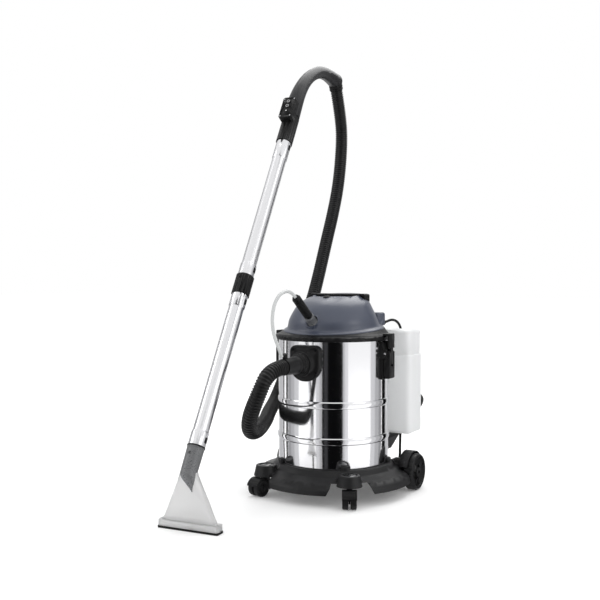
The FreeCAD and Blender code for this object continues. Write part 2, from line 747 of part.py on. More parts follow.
def rear_wheel(label, side):
    """Rear wheel: tyre, dished face and three broad spokes."""
    body = new_body(label)
    wide = "wheel_wide"
    corners = [("axle_radius + run_gap", "0"),
               ("wheel_radius - 9", "0"),
               ("wheel_radius - 2.5", "1"),
               ("wheel_radius", "4"),
               ("wheel_radius", wide + " - 5"),
               ("wheel_radius - 3", wide + " - 1"),
               ("wheel_radius - 6", wide),
               ("wheel_radius - 9", wide + " - 1"),
               ("wheel_radius - 11", wide + " - 5"),
               ("13", wide + " - 9"),
               ("12", wide + " - 2"),
               ("10", wide + " - 1"),
               ("axle_radius + run_gap", wide + " - 1")]
    turn_profile(body, corners)
    sketch = new_sketch(body, "XY_Plane", wide + " - 7")
    outline(sketch, [("15", "-6"), ("wheel_radius - 12", "-9"),
                     ("wheel_radius - 12", "9"), ("15", "6")])
    spoke = pad(body, sketch, "4")
    pattern = body.newObject("PartDesign::PolarPattern", "Spokes")
    pattern.Originals = [spoke]
    pattern.Axis = (origin_item(body, "Z_Axis"), [""])
    pattern.Angle = 360
    pattern.Occurrences = 3
    body.Tip = pattern
    doc.recompute()
    seat(body, "%d * (wheel_outer_x - wheel_wide)" % side, "wheel_y", "wheel_radius",
         Rotation(Vector(0, 1, 0), 90 * side))
    return body


# Drum and hose inlet

def bead_points(height, inward):
    """Half-round bead in a drum section, bottom to top."""
    half = size("bead_half")
    deep = size("bead_depth")
    points = []
    for i in range(7):
        angle = -math.pi / 2 + math.pi * i / 6
        points.append((size("drum_radius") - inward + deep * math.cos(angle),
                       height + half * math.sin(angle)))
    return points


def steel_drum():
    """Open drum of thin steel with two rolled beads and a rolled rim."""
    radius = size("drum_radius")
    wall = size("drum_wall")
    low = size("drum_floor")
    high = size("drum_top")
    outer = [(radius - 6, low), (radius - 1.6, low + 1.4), (radius, low + 6)]
    outer += bead_points(size("bead_low"), 0) + bead_points(size("bead_high"), 0)
    outer.append((radius, high - 2))
    inner = [(radius - 6.5, low + wall), (radius - 2.2, low + 2.2), (radius - wall, low + 6)]
    inner += bead_points(size("bead_low"), wall) + bead_points(size("bead_high"), wall)
    inner.append((radius - wall, high - 2))
    corners = [(0, low)] + outer + list(reversed(inner)) + [(0, low + wall)]
    shell = revolved(corners)
    roll = Part.makeTorus(radius, size("rim_roll"), Vector(0, 0, high - 2))
    shell = shell.fuse(roll)
    mouth = cylinder(size("inlet_bore"), 60, (0, -radius - 30, size("inlet_high")), (0, 1, 0))
    return machine_piece("steel_drum", shell.cut(mouth))


def inlet_flange():
    """Black inlet moulding riveted to the drum's front."""
    half = size("flange_half_wide")
    tall = size("flange_half_high")
    front = size("drum_radius + flange_depth")
    height = size("inlet_high")
    plate = box((-half, -front, height - tall), (half, -120, height + tall))
    lower = [e for e in plate.Edges if e.BoundBox.ZMax < height and
             e.BoundBox.YLength > 10]
    plate = plate.makeFillet(half - 2, lower)
    upper = [e for e in plate.Edges if e.BoundBox.ZMin > height + tall - 1 and
             e.BoundBox.YLength > 10]
    plate = plate.makeFillet(16, upper)
    face = [e for e in plate.Edges if e.BoundBox.YMax < -front + 1e-3]
    plate = plate.makeFillet(5, face)
    collar_long = size("inlet_collar_long")
    collar_radius = size("inlet_collar")
    collar = cylinder(collar_radius, collar_long + 6,
                      (0, -front - collar_long, height), (0, 1, 0))
    rims = [e for e in collar.Edges if e.BoundBox.YMax < -front - collar_long + 1e-3]
    collar = collar.makeFillet(3, rims)
    knurl = box((-17, -front - 12, height + collar_radius - 9),
                (17, -front + 2, height + collar_radius + 6))
    knurl = knurl.makeFillet(3, [e for e in knurl.Edges if e.BoundBox.YLength > 10])
    solid = plate.fuse([collar, knurl])
    solid = solid.cut(cylinder(size("drum_radius"), 300, (0, 0, height - 150)))
    bore = cylinder(size("inlet_bore"), 200, (0, -front - 60, height), (0, 1, 0))
    solid = solid.cut(bore)
    for x, z in flange_screw_places():
        hole = cylinder(2.0, 40, (x, -front - 1, z), (0, 1, 0))
        sink = cylinder(4.6, 3.4, (x, -front - 1, z), (0, 1, 0))
        solid = solid.cut(hole).cut(sink)
    return machine_piece("inlet_flange", solid.removeSplitter())


def flange_screw_places():
    reach_x = size("flange_half_wide") - 9
    high = size("inlet_high") + size("flange_half_high") - 10
    low = size("inlet_high") - 22
    return [(-reach_x, high), (reach_x, high), (-reach_x, low), (reach_x, low)]


def pan_screw():
    """A cross-head screw pointing down, its head's top at the origin."""
    head = revolved([(0, 0), (2.4, -0.2), (3.6, -1.2), (3.9, -2.2), (0, -2.2)])
    shank = cylinder(1.95, 12, (0, 0, -14))
    slot = box((-2.2, -0.45, -1.3), (2.2, 0.45, 1)).fuse(box((-0.45, -2.2, -1.3), (0.45, 2.2, 1)))
    return head.fuse(shank).cut(slot)


def hose_cuff():
    """Stepped cuff on the hose's end, locked into the inlet, with a barb."""
    tip = -size("cuff_long")
    bore = size("cuff_bore")
    ring = size("cuff_radius")
    hose = size("hose_radius")
    plug = size("inlet_bore - fit_gap")
    corners = [(bore, 18), (plug, 18), (plug, 0), (ring + 2, 0), (ring + 2, -5), (ring, -7),
               (ring, -13), (ring - 1.8, -14), (ring - 1.8, -20), (ring - 3.5, -21),
               (ring - 3.5, -27), (hose + 2, -34), (hose + 1, tip + 4), (hose + 1, tip),
               (bore, tip)]
    solid = revolved(corners)
    barb_foot = Vector(0, -15, tip + 14)
    barb_way = Vector(0, -math.cos(math.radians(30)), -math.sin(math.radians(30)))
    barb = Part.makeCylinder(size("solution_radius") + 1.8, size("barb_long"), barb_foot, barb_way)
    barb = barb.cut(cylinder(bore + 1, 40, (0, 0, tip)))
    solid = solid.fuse(barb)
    feature = solid_feature("hose_cuff", solid.removeSplitter())
    seat(feature, "0", "-(drum_radius + flange_depth + inlet_collar_long)", "inlet_high",
         Rotation(Vector(1, 0, 0), -90))
    return feature


# Latches


def latch_brackets():
    """Brackets riveted to the drum that carry the latches' levers."""
    pieces = []
    radius = size("drum_radius")
    half = size("latch_half")
    for side in (-1, 1):
        plate = box((radius - 12, -half, 300), (radius + 7, half, size("ring_low") - 2))
        plate = plate.makeFillet(3, [e for e in plate.Edges if e.BoundBox.XMin > radius + 6.9])
        ears = []
        for y in (-half, half - 4):
            ear = box((radius, y, 352), (radius + 19, y + 4, 376))
            ear = ear.makeFillet(5, [e for e in ear.Edges if e.BoundBox.YLength > 3
                                     and e.BoundBox.XMin > radius + 18])
            ears.append(ear)
        solid = plate.fuse(ears)
        channel = box((radius + 3.5, 4 - half, 301), (radius + 9, half - 4, 400))
        solid = solid.cut(channel)
        solid = solid.cut(cylinder(radius, 400, (0, 0, 150)))
        bore = cylinder(2.5 + size("run_gap"), 60,
                        (radius + size("latch_pin_out"), -30, size("latch_pin_high")), (0, 1, 0))
        solid = solid.cut(bore)
        if side < 0:
            solid = solid.mirror(Vector(), Vector(1, 0, 0))
        pieces.append(solid)
    return machine_piece("latch_brackets", Part.makeCompound(pieces))


def latch_pins():
    """Bright stub pins that the levers turn on, two to a latch."""
    pins = []
    high = size("latch_pin_high")
    for side in (-1, 1):
        x = side * (size("drum_radius") + size("latch_pin_out"))
        for way in (-1, 1):
            pins.append(cylinder(2.5, size("latch_half") - 5, (x, way * 6.5, high), (0, way, 0)))
    return machine_piece("latch_pins", Part.makeCompound(pins))


def latch_lever(label, side):
    """Over-centre lever: turns out and up about the bracket's pin."""
    radius = size("drum_radius")
    wide = size("latch_half") - 4 - size("fit_gap")
    pin_x = radius + size("latch_pin_out")
    grip = box((pin_x - 4.5, -wide, 302), (pin_x + 11, wide, size("latch_pin_high") + 6))
    grip = grip.makeFillet(4, [e for e in grip.Edges if e.BoundBox.YLength > 10])
    slot = box((radius, -6.3, size("latch_pin_high") - 33), (radius + 60, 6.3, 400))
    grip = grip.cut(slot)
    bore = cylinder(2.5 + size("run_gap"), 60, (pin_x, -30, size("latch_pin_high")), (0, 1, 0))
    hook_bore = cylinder(2 + size("run_gap"), 60,
                         (pin_x + size("hook_out"), -30, size("latch_pin_high - hook_down")),
                         (0, 1, 0))
    solid = grip.cut(bore).cut(hook_bore)
    if side < 0:
        solid = solid.mirror(Vector(), Vector(1, 0, 0))
    return machine_piece(label, solid)


def latch_hook(label, side):
    """Hook link: pinned low on the lever, its lip over the lid ring."""
    ring = size("ring_radius")
    top = size("ring_flange_top")
    pin_x = size("drum_radius") + size("latch_pin_out")
    inner = pin_x + size("hook_out") - 3
    outer = pin_x + size("hook_out") + 3
    pin_z = size("latch_pin_high") - size("hook_down")
    shank = box((inner, -6, pin_z - 5), (outer, 6, top + 5))
    head = box((inner, -15, size("latch_pin_high") + 14), (outer, 15, top + 5))
    lip = box((ring - 4, -15, top + size("fit_gap")), (outer, 15, top + 5))
    solid = shank.fuse([head, lip])
    solid = solid.removeSplitter()
    outer_edges = [e for e in solid.Edges if e.BoundBox.XMin > outer - 1e-3
                   and e.BoundBox.ZMin > top + 4]
    solid = solid.makeFillet(2.5, outer_edges)
    reach = size("latch_half") - 5
    pin = cylinder(2, 2 * reach, (pin_x + size("hook_out"), -reach, pin_z), (0, 1, 0))
    solid = solid.fuse(pin)
    if side < 0:
        solid = solid.mirror(Vector(), Vector(1, 0, 0))
    return machine_piece(label, solid.removeSplitter())


# Suction head

def tilted(solid):
    """Tilt a piece of the head about the ring's top at the drum axis."""
    solid.rotate(Vector(0, 0, size("ring_top")), Vector(1, 0, 0), size("cover_tilt"))
    return solid


def lid_ring():
    """Black lid: flange on the drum's rim, sloping collar and motor pot."""
    low = size("ring_low")
    flange_top = size("ring_flange_top")
    radius = size("ring_radius")
    step = size("ring_step_radius")
    wall = size("pot_wall")
    pot = size("pot_radius")
    pot_floor = size("pot_floor")
    eye = size("eye_radius")
    rim_out = size("drum_radius + rim_roll + fit_gap")
    rim_in = size("drum_radius - rim_roll - fit_gap")
    rim_high = size("drum_top") + 3.6
    deck_low = rim_high + 2
    corners = [(eye, pot_floor), (pot - 4, pot_floor), (pot, pot_floor + 4), (pot, deck_low),
               (rim_in - 4, deck_low), (rim_in - 4, low - 6), (rim_in, low - 6),
               (rim_in, rim_high), (rim_out, rim_high), (rim_out, low), (radius - 2, low),
               (radius, low + 2), (radius, flange_top - 4), (radius - 3, flange_top),
               (step, flange_top), (step, flange_top + 1), (pot - wall, flange_top + 1),
               (pot - wall, pot_floor + wall), (eye, pot_floor + wall)]
    solid = revolved(corners)
    lower = Part.Wire([Part.Circle(Vector(0, 0, flange_top), Vector(0, 0, 1), step).toShape()])
    cover = size("cover_radius") + 1.5
    upper = Part.Wire([Part.Circle(Vector(0, 0, size("ring_top")), Vector(0, 0, 1),
                                   cover).toShape()])
    upper = tilted(upper)
    lower_in = Part.Wire([Part.Circle(Vector(0, 0, flange_top), Vector(0, 0, 1),
                                      step - 6).toShape()])
    upper_in = Part.Wire([Part.Circle(Vector(0, 0, size("ring_top")), Vector(0, 0, 1),
                                      cover - 6).toShape()])
    upper_in = tilted(upper_in)
    collar = loft([lower, upper], True).cut(loft([lower_in, upper_in], True))
    solid = solid.fuse(collar)
    tab = box((-9, radius - 4, low), (9, size("feed_y") + 5.5, flange_top))
    solid = solid.fuse(tab)
    socket = cylinder(size("feed_radius") + size("run_gap"), 8, (0, size("feed_y"), low - 1))
    return machine_piece("lid_ring", solid.cut(socket).removeSplitter())


def lid_gasket():
    """Rubber ring between the drum's rim and the lid."""
    body = new_body("lid_gasket")
    inner = "drum_radius - rim_roll"
    outer = "drum_radius + rim_roll"
    corners = [(inner, "drum_top + 0.7"), (outer, "drum_top + 0.7"),
               (outer, "drum_top + 3.3"), (inner, "drum_top + 3.3")]
    turn_profile(body, corners)
    seat(body)
    return body


COVER_SECTIONS = [(0.0, 1.0, 0.0), (3.0, 0.985, 0.0), (6.5, 0.935, 0.0), (22.0, 0.885, -2.0),
                  (40.0, 0.83, -1.0), (56.0, 0.765, 2.0), (66.0, 0.715, 6.0),
                  (75.0, 0.645, 11.0), (82.0, 0.56, 20.0), (86.7, 0.5, 30.0)]


def cover_solid(inset):
    """The motor cover's outer form, or its hollow with an inset."""
    foot = size("ring_top") + size("fit_gap")
    radius = size("cover_radius")
    wires = []
    for height, share, back in COVER_SECTIONS:
        lift = height - inset * min(height / 20.0, 1.0)
        wires.append(oval((0, back, foot + lift), radius * share - inset, radius * share - inset))
    solid = loft(wires)
    dish = size("dish_radius") + inset
    end = size("dish_half") + inset
    scoop = cylinder(dish, 2 * end, (-end, size("dish_y"), size("dish_high")), (1, 0, 0))
    return solid.cut(scoop)


def plug_heading():
    """Unit vector out of the spray socket, and its mouth's centre."""
    rise = math.radians(37)
    return Vector(0, -math.cos(rise), math.sin(rise)), Vector(0, -113, 446)


def cord_bump():
    """Small housing on the cover's rear shoulder that the cord leaves."""
    bump = rounded_box((62, 60, 421), (100, 112, 466), 7, "y")
    rear = [e for e in bump.Edges if e.BoundBox.YMin > 111.9 and e.BoundBox.ZMin > 440]
    return bump.makeFillet(5, rear)


def motor_cover():
    """Grey-blue shell over the motor, with a dished top under the handle."""
    shell = cover_solid(0)
    heading, mouth = plug_heading()
    boss = Part.makeCylinder(18, 34, mouth - heading * 30, heading)
    seat_boss = cylinder(size("switch_radius") + 4.5, 40, (0, size("switch_y"), 464))
    outer = tilted(shell).fuse(boss).fuse(cord_bump()).fuse(seat_boss)
    foot = cylinder(200, 60, (0, 0, size("ring_top") + size("fit_gap") - 60))
    outer = outer.cut(tilted(foot))
    hollow = tilted(cover_solid(size("cover_wall")))
    cut_bump = box((65, 63, 410), (97, 109, 460))
    solid = outer.cut(hollow).cut(cut_bump)
    socket = Part.makeCylinder(size("outlet_radius") + 0.3, 60, mouth - heading * 50, heading)
    recess = Part.makeCylinder(size("outlet_radius") + 3, 20, mouth + heading * 0.5, heading)
    solid = solid.cut(socket).cut(recess)
    gland = cylinder(size("gland_radius"), 30, (size("gland_x"), 95, size("gland_high")), (0, 1, 0))
    solid = solid.cut(gland)
    switch = cylinder(size("switch_radius") + size("slide_gap"), 40, (0, size("switch_y"), 470))
    return machine_piece("motor_cover", solid.cut(switch))


def power_switch():
    """Round push switch at the front of the cover's top."""
    body = new_body("power_switch")
    corners = [("0", "0"), ("10", "0"), ("10", "20"), ("9", "22.5"), ("6", "24"), ("0", "24")]
    turn_profile(body, corners)
    seat(body, "0", "switch_y", "cover_top - 20")
    return body


def carry_handle():
    """Black grip across the cover's top, clipped over both shoulders."""
    half = size("handle_half")
    wide = size("handle_wide") / 2
    top = size("handle_top")
    thick = size("handle_thick")
    y = size("handle_y")
    solid = rounded_box((-half, y - wide, top - thick), (half, y + wide, top), 3, "x")
    for side in (-1, 1):
        low, high = sorted((side * (half - 22), side * (half + 6)))
        block = rounded_box((low, y - wide, 482), (high, y + wide, top - 0.5), 5, "y")
        solid = solid.fuse(block)
    solid = solid.cut(tilted(cover_solid(-size("fit_gap"))))
    pieces = sorted(solid.Solids, key=lambda piece: -piece.Volume)
    return machine_piece("carry_handle", pieces[0])


def cord_gland():
    """Rubber strain relief of the mains cord."""
    body = new_body("cord_gland")
    corners = [("cord_radius + run_gap", "-8"), ("5.9", "-8"), ("5.9", "0.2"), ("8", "0.2"),
               ("8", "3"), ("6.4", "4"), ("5.2", "26"), ("cord_radius + run_gap", "26")]
    turn_profile(body, corners)
    seat(body, "gland_x", "112", "gland_high", Rotation(Vector(1, 0, 0), -90))
    return body


def motor():
    """Motor can and turbine housing in the lid's pot."""
    floor = size("pot_floor + pot_wall")
    turbine = size("turbine_radius")
    high = floor + size("turbine_high")
    can = size("motor_radius")
    top = size("motor_top")
    shaft = size("shaft_radius + run_gap")
    eye = size("eye_radius")
    wall = 2.5
    corners = [(eye, floor), (turbine, floor), (turbine, high), (can, high), (can, top),
               (shaft + 8, top), (shaft + 8, top - 4), (shaft, top - 4), (shaft, top - 14),
               (can - 8, top - 14), (can - 8, high + 14), (shaft, high + 14),
               (shaft, high - wall), (turbine - wall, high - wall),
               (turbine - wall, floor + wall), (eye, floor + wall)]
    solid = revolved(corners)
    return machine_piece("motor", solid)


def turbine_rotor():
    """Shaft with the suction fan, the armature and the cooling fan."""
    floor = size("pot_floor + pot_wall")
    high = floor + size("turbine_high")
    top = size("motor_top")
    shaft = size("shaft_radius")
    fan = size("fan_radius")
    fan_low = floor + 6
    fan_top = fan_low + size("fan_high")
    armature = size("motor_radius") - 12
    corners = [(0, fan_low - 2), (shaft, fan_low - 2), (14, fan_low), (fan, fan_low),
               (fan, fan_low + 1.2), (16, fan_low + 1.2), (12, fan_top - 1.2),
               (fan, fan_top - 1.2), (fan, fan_top), (shaft, fan_top), (shaft, high + 18),
               (armature, high + 18), (armature, top - 20), (shaft, top - 20),
               (shaft, top + 6), (16, top + 6), (16, top + 14), (shaft, top + 14),
               (0, top + 14)]
    solid = revolved(corners)
    for i in range(6):
        vane = box((13, -0.6, fan_low + 0.6), (fan - 2, 0.6, fan_top - 0.6))
        vane.rotate(Vector(), Vector(0, 0, 1), 60 * i)
        solid = solid.fuse(vane)
    for i in range(8):
        blade = box((14, -0.7, top + 7), (size("cooling_radius"), 0.7, top + 13))
        blade.rotate(Vector(20, 0, top + 10), Vector(1, 0, 0), 18)
        blade.rotate(Vector(), Vector(0, 0, 1), 45 * i)
        solid = solid.fuse(blade)
    return machine_piece("turbine_rotor", solid.removeSplitter())


def pump():
    """Solution pump beside the motor, with its outlet socket in the cover."""
    deck = size("ring_flange_top") + 1.1
    heading, mouth = plug_heading()
    block = rounded_box((-22, -88, deck), (22, -50, deck + 30), 4, "z")
    coil = cylinder(14, 14, (0, -68, deck + 28))
    barrel = Part.makeCylinder(size("outlet_radius"), 44, mouth - heading * 40, heading)
    solid = block.fuse([coil, barrel])
    motor_room = cylinder(size("motor_radius") + 2, 200, (0, 0, deck - 50))
    solid = solid.cut(motor_room)
    bore = Part.makeCylinder(size("plug_tip") + 0.3, 30, mouth - heading * 20, heading)
    mouth_face = Part.makeCylinder(20, 20, mouth + heading * 3.5, heading)
    return machine_piece("pump", solid.cut(bore).cut(mouth_face).removeSplitter())


def float_cage():
    """Slotted cage under the pot that guides the float."""
    radius = size("cage_radius")
    wall = size("cage_wall")
    low = size("cage_low")
    high = size("pot_floor")
    seat_radius = size("eye_radius")
    corners = [(0, low), (radius, low), (radius, high), (seat_radius, high),
               (seat_radius, high - wall), (radius - wall, high - wall),
               (radius - wall, low + wall), (0, low + wall)]
    solid = revolved(corners)
    for i in range(4):
        slot = box((radius - 8, -9, low + 8), (radius + 8, 9, high - 10))
        slot.rotate(Vector(), Vector(0, 0, 1), 45 + 90 * i)
        solid = solid.cut(slot)
    drain = cylinder(size("drain_radius"), 10, (0, 0, low - 2))
    return machine_piece("float_cage", solid.cut(drain))


def float_ball():
    """Hollow float that shuts the suction eye when the drum is full."""
    radius = size("float_radius")
    low = size("cage_low + cage_wall")
    drop = math.sqrt(radius ** 2 - size("drain_radius") ** 2)
    ball = Part.makeSphere(radius, Vector(0, 0, low + drop + 0.1))
    return machine_piece("float_ball", ball)


def foam_filter():
    """Foam sleeve round the float cage."""
    body = new_body("foam_filter")
    corners = [("cage_radius + fit_gap", "cage_low + 4"), ("filter_radius", "cage_low + 4"),
               ("filter_radius", "pot_floor - fit_gap"),
               ("cage_radius + fit_gap", "pot_floor - fit_gap")]
    turn_profile(body, corners)
    seat(body)
    return body


# Solution tank

def tank_form(inset):
    """The tank's outer form, or its hollow with an inset."""
    half = size("tank_half") - inset
    front = size("tank_front") + inset
    back = size("tank_back") - inset
    low = size("tank_low") + inset
    high = size("tank_high") - inset
    step = size("tank_step")
    foot = rounded_box((-half, front, low), (half, back, step - inset), 15 - inset, "z")
    shoulder = rounded_box((-half + 3, front + 2.5, low + 30), (half - 3, back - 2.5, high),
                           15 - inset, "z")
    low_edges = [e for e in foot.Edges if e.BoundBox.ZMax < low + 1e-3]
    foot = foot.makeFillet(9 - inset, low_edges)
    top_edges = [e for e in foot.Edges if e.BoundBox.ZMin > step - inset - 1e-3]
    foot = foot.makeFillet(2.2, top_edges)
    high_edges = [e for e in shoulder.Edges if e.BoundBox.ZMin > high - 1e-3]
    shoulder = shoulder.makeFillet(8 - inset, high_edges)
    form = foot.fuse(shoulder)
    return form.cut(cylinder(size("tank_hug") + inset, 600, (0, 0, 0)))


def solution_tank():
    """Translucent tank that hugs the drum's rear, with a filler neck."""
    wall = size("tank_wall")
    neck_y = size("tank_back")
    x = size("cap_x")
    z = size("cap_high")
    neck = cylinder(size("filler_radius"), 24, (x, neck_y - 6, z), (0, 1, 0))
    solid = tank_form(0).fuse(neck).cut(tank_form(wall))
    bore = cylinder(size("filler_radius") - 3, 60, (x, neck_y - 20, z), (0, 1, 0))
    return machine_piece("solution_tank", solid.cut(bore).removeSplitter())


def tank_cap():
    """Ribbed screw cap of the tank."""
    radius = size("cap_radius")
    long = size("cap_long")
    inner = size("filler_radius") + size("fit_gap")
    corners = [(inner, 0), (radius, 0), (radius, 5), (radius - 2, 8), (radius - 3, 20),
               (radius - 9, long - 3), (radius - 12, long), (0, long), (0, 22),
               (inner, 22)]
    solid = revolved(corners)
    for i in range(18):
        groove = cylinder(1.2, 18, (radius - 1.6, 0, 8))
        groove.rotate(Vector(), Vector(0, 0, 1), 20 * i)
        solid = solid.cut(groove)
    solid.rotate(Vector(), Vector(1, 0, 0), -90)
    feature = solid_feature("tank_cap", solid)
    seat(feature, "cap_x", "tank_back + fit_gap", "cap_high")
    return feature


def tank_bracket():
    """Shelf on the drum's rear that the tank stands on."""
    half = size("shelf_half")
    top = size("tank_low")
    wall = size("shelf_wall")
    radius = size("drum_radius")
    back = size("tank_back")
    shelf = rounded_box((-half, 60, top - wall), (half, back + 5, top), 10, "z")
    lip = rounded_box((-half + 20, back + size("fit_gap"), top - wall),
                      (half - 20, back + 5, top + 16), 1.5, "z")
    band = cylinder(radius + 4, 34, (0, 0, top - 40))
    band = band.common(box((-half, 60, 0), (half, 200, 400)))
    solid = shelf.fuse([lip, band])
    for x in (-half + 4, -30, 26, half - 8):
        gusset = Part.makePolygon([Vector(x, 80, top - wall), Vector(x, back - 40, top - wall),
                                   Vector(x, 120, top - 38), Vector(x, 80, top - 38),
                                   Vector(x, 80, top - wall)])
        solid = solid.fuse(Part.Face(gusset).extrude(Vector(4, 0, 0)))
    solid = solid.cut(cylinder(radius, 400, (0, 0, 0)))
    socket = cylinder(size("feed_radius") + size("run_gap"), 20, (0, size("feed_y"), top - 5))
    return machine_piece("tank_bracket", solid.cut(socket).removeSplitter())


def feed_tube():
    """Tube from the tank's shelf up to the lid, between drum and tank."""
    tube = named(doc.addObject("Part::Cylinder", "FeedTube"), "feed_tube")
    link(tube, "Radius", "feed_radius")
    link(tube, "Height", "ring_low + 6 - (tank_low - 4)")
    seat(tube, "0", "feed_y", "tank_low - 4")
    return tube


# Spray plug, solution tube and suction hose


def plug_turn():
    """Rotation that takes +Z to the way out of the spray socket."""
    heading, mouth = plug_heading()
    return Rotation(Vector(0, 0, 1), heading)


def spray_plug():
    """Plug of the solution line, with a ribbed barrel."""
    heading, mouth = plug_heading()
    bore = size("solution_radius + run_gap")
    shoulder = size("collar_high") + size("collar_travel") + 0.7
    core = size("plug_core")
    sleeve = size("plug_sleeve")
    long = size("plug_long")
    corners = [(0, -17), (core - 1, -17), (core, -15.5), (core, shoulder), (sleeve, shoulder)]
    ribs = 11
    first = shoulder + 4
    step = (long - 12 - first) / ribs
    for i in range(ribs):
        low = first + i * step
        corners += [(sleeve, low), (sleeve - 0.9, low + 0.6), (sleeve - 0.9, low + step - 2.4),
                    (sleeve, low + step - 1.8)]
    corners += [(sleeve, long - 7), (sleeve - 3.5, long), (bore, long), (bore, long - 14),
                (0, long - 14)]
    feature = solid_feature("spray_plug", revolved(corners))
    seat(feature, str(mouth.x), str(mouth.y), str(mouth.z), plug_turn())
    return feature


def plug_collar():
    """Knurled release collar that slides on the plug."""
    heading, mouth = plug_heading()
    inner = size("plug_core") + size("slide_gap")
    outer = size("collar_radius")
    low = size("collar_low")
    high = size("collar_high")
    ring = revolved([(inner, low), (outer - 1, low), (outer, low + 1.5), (outer, high - 1.5),
                     (outer - 1, high), (inner, high)])
    for i in range(24):
        groove = cylinder(0.7, high - low - 8, (outer + 0.1, 0, low + 4))
        groove.rotate(Vector(), Vector(0, 0, 1), 15 * i)
        ring = ring.cut(groove)
    feature = solid_feature("plug_collar", ring)
    seat(feature, str(mouth.x), str(mouth.y), str(mouth.z), plug_turn())
    return feature


SOLUTION_ROUTE = [(0, -192.1, 505.6), (0, -213.6, 521.8), (0, -241, 527.8), (0, -270, 522),
                  (0, -294, 504), (0, -306.5, 477), (0, -307.5, 448), (0, -297.5, 420),
                  (0, -279.2, 394.6), (0, -265.59, 371.02)]


def solution_tube():
    """Clear tube from the spray plug to the barb on the hose's cuff."""
    route = Route("solution_tube", SOLUTION_ROUTE)
    feature = solid_feature("solution_tube", route.tube(size("solution_radius")))
    seat(feature)
    return feature


HOSE_ROUTE = [(0, -259.3, 345), (0, -321, 345), (-18.2, -343, 284.3), (-43.7, -339.3, 231.6),
              (-61.2, -312.5, 192.9), (-76.9, -252.3, 183.2), (-109.7, -161.5, 195.4),
              (-148, -86, 203.7), (-177.2, -4.1, 222), (-182, 60, 290), (-200, 135, 365),
              (-194, 185, 445), (-178.5, 199.5, 484.2), (-181.4, 241.7, 550.5),
              (-183.1, 298.4, 664.8), (-181.7, 345.4, 765.4), (-179.7, 378.9, 864.3),
              (-179.1, 397.8, 997.7)]
HOSE_RIBS = 188


def suction_hose():
    """Ribbed hose from the inlet to the wand's handle, open right through."""
    frame = tube_frame(SLEEVE_TOP)
    foot = frame.multVec(Vector(0, *CUFF_FOOT))
    way = frame.Rotation.multVec(Vector(0, *CUFF_WAY))
    ends = [foot - way * 70, foot - way * size("fit_gap")]
    route = Route("suction_hose", HOSE_ROUTE + [tuple(end) for end in ends])
    crest = size("hose_radius")
    root = size("hose_root")
    pitch = route.length / HOSE_RIBS
    stations = []
    for i in range(HOSE_RIBS):
        low = i * pitch
        stations += [(low + 0.02 * pitch, root), (low + 0.34 * pitch, root),
                     (low + 0.48 * pitch, crest), (low + 0.88 * pitch, crest)]
    stations[0] = (0.0, root)
    stations.append((route.length, root))
    outer = Part.makeLoft(route.circles(stations), True, True)
    bore = size("cuff_bore")
    extra = 2.0
    start, heading = route.at(0)
    end, last = route.at(route.length)
    inner = route.tube(bore)
    inner = inner.fuse([Part.makeCylinder(bore, extra, start - heading * extra, heading),
                        Part.makeCylinder(bore, extra, end, last)])
    hose = outer.cut(inner)
    feature = solid_feature("suction_hose", hose)
    seat(feature)
    return feature


# Mains cord, put away in a coil behind the drum

CORD_ROUTE = [(85, 106, 437), (85, 146, 437), (88, 172, 443), (91, 200, 440), (92, 226, 427),
              (90, 246, 403), (87, 254, 370), (85, 257, 312), (83, 256, 215), (82, 258, 125),
              (81, 257, 75), (81, 257, 36.6), (69, 257, 15.8), (48.2, 257, 3.8),
              (24, 257.5, 3.8), (1.7, 270.5, 3.8)]
COIL_CENTRE = (-76.0, 315.0)
COIL_TURNS = 4
FLOOR_REST = 3.8


def power_cord():
    """Mains cord from its strain relief down to the coil."""
    last = coil_crossings()[0]
    route = Route("power_cord", CORD_ROUTE + [last - Vector(0, 22, 0), last])
    feature = solid_feature("power_cord", route.tube(size("cord_radius")))
    seat(feature)
    return feature


def coil_crossings():
    """Places where the coil crosses its own centre line, in order."""
    pitch = size("coil_pitch")
    core = size("coil_mid") - COIL_TURNS * pitch / 2
    steps = [COIL_TURNS + 0.25 - k / 2 for k in range(2 * COIL_TURNS + 1)]
    heights = [0] * len(steps)
    for layer in (1, 2, 3):
        rising = layer % 2 == 1
        for k in range(2 * COIL_TURNS):
            step = 0.25 + k / 2 if rising else COIL_TURNS - 0.25 - k / 2
            steps.append(step)
            heights.append(layer)
    places = []
    for k, (step, layer) in enumerate(zip(steps, heights)):
        way = 1 if k % 2 == 0 else -1
        x = COIL_CENTRE[0] + way * (core + step * pitch)
        places.append(Vector(x, COIL_CENTRE[1], FLOOR_REST + layer * pitch))
    return places


def cord_coil():
    """The cord's put-away length: four layers of four turns, then the plug's tail."""
    places = coil_crossings()
    places.append(Vector(COIL_CENTRE[0] - size("mains_plug_out"), COIL_CENTRE[1],
                         size("mains_plug_high")))
    edges = []
    length = 0.0
    samples = []
    for k in range(len(places) - 1):
        first = places[k]
        last = places[k + 1]
        radius = (last - first).Length / 2
        way = 1 if k % 2 == 0 else -1
        centre = (first + last) * 0.5
        middle = centre + Vector(0, way * radius, 0)
        halves = half_turn(first, middle, last, centre, radius)
        edges += halves
        length += math.pi * radius
        for edge in halves:
            samples += edge.discretize(19)[:-1]
    wire = Part.Wire(edges)
    start = places[0]
    radius = size("cord_radius")
    circle = Part.Wire([Part.Circle(start, Vector(0, 1, 0), radius).toShape()])
    solid = wire.makePipeShell([circle], True, False)
    print("cord_coil: length %.0f mm, %d half turns, least gap to itself %.2f mm" %
          (length, len(places) - 1, least_gap(samples, radius)))
    feature = solid_feature("cord_coil", solid)
    seat(feature)
    return feature


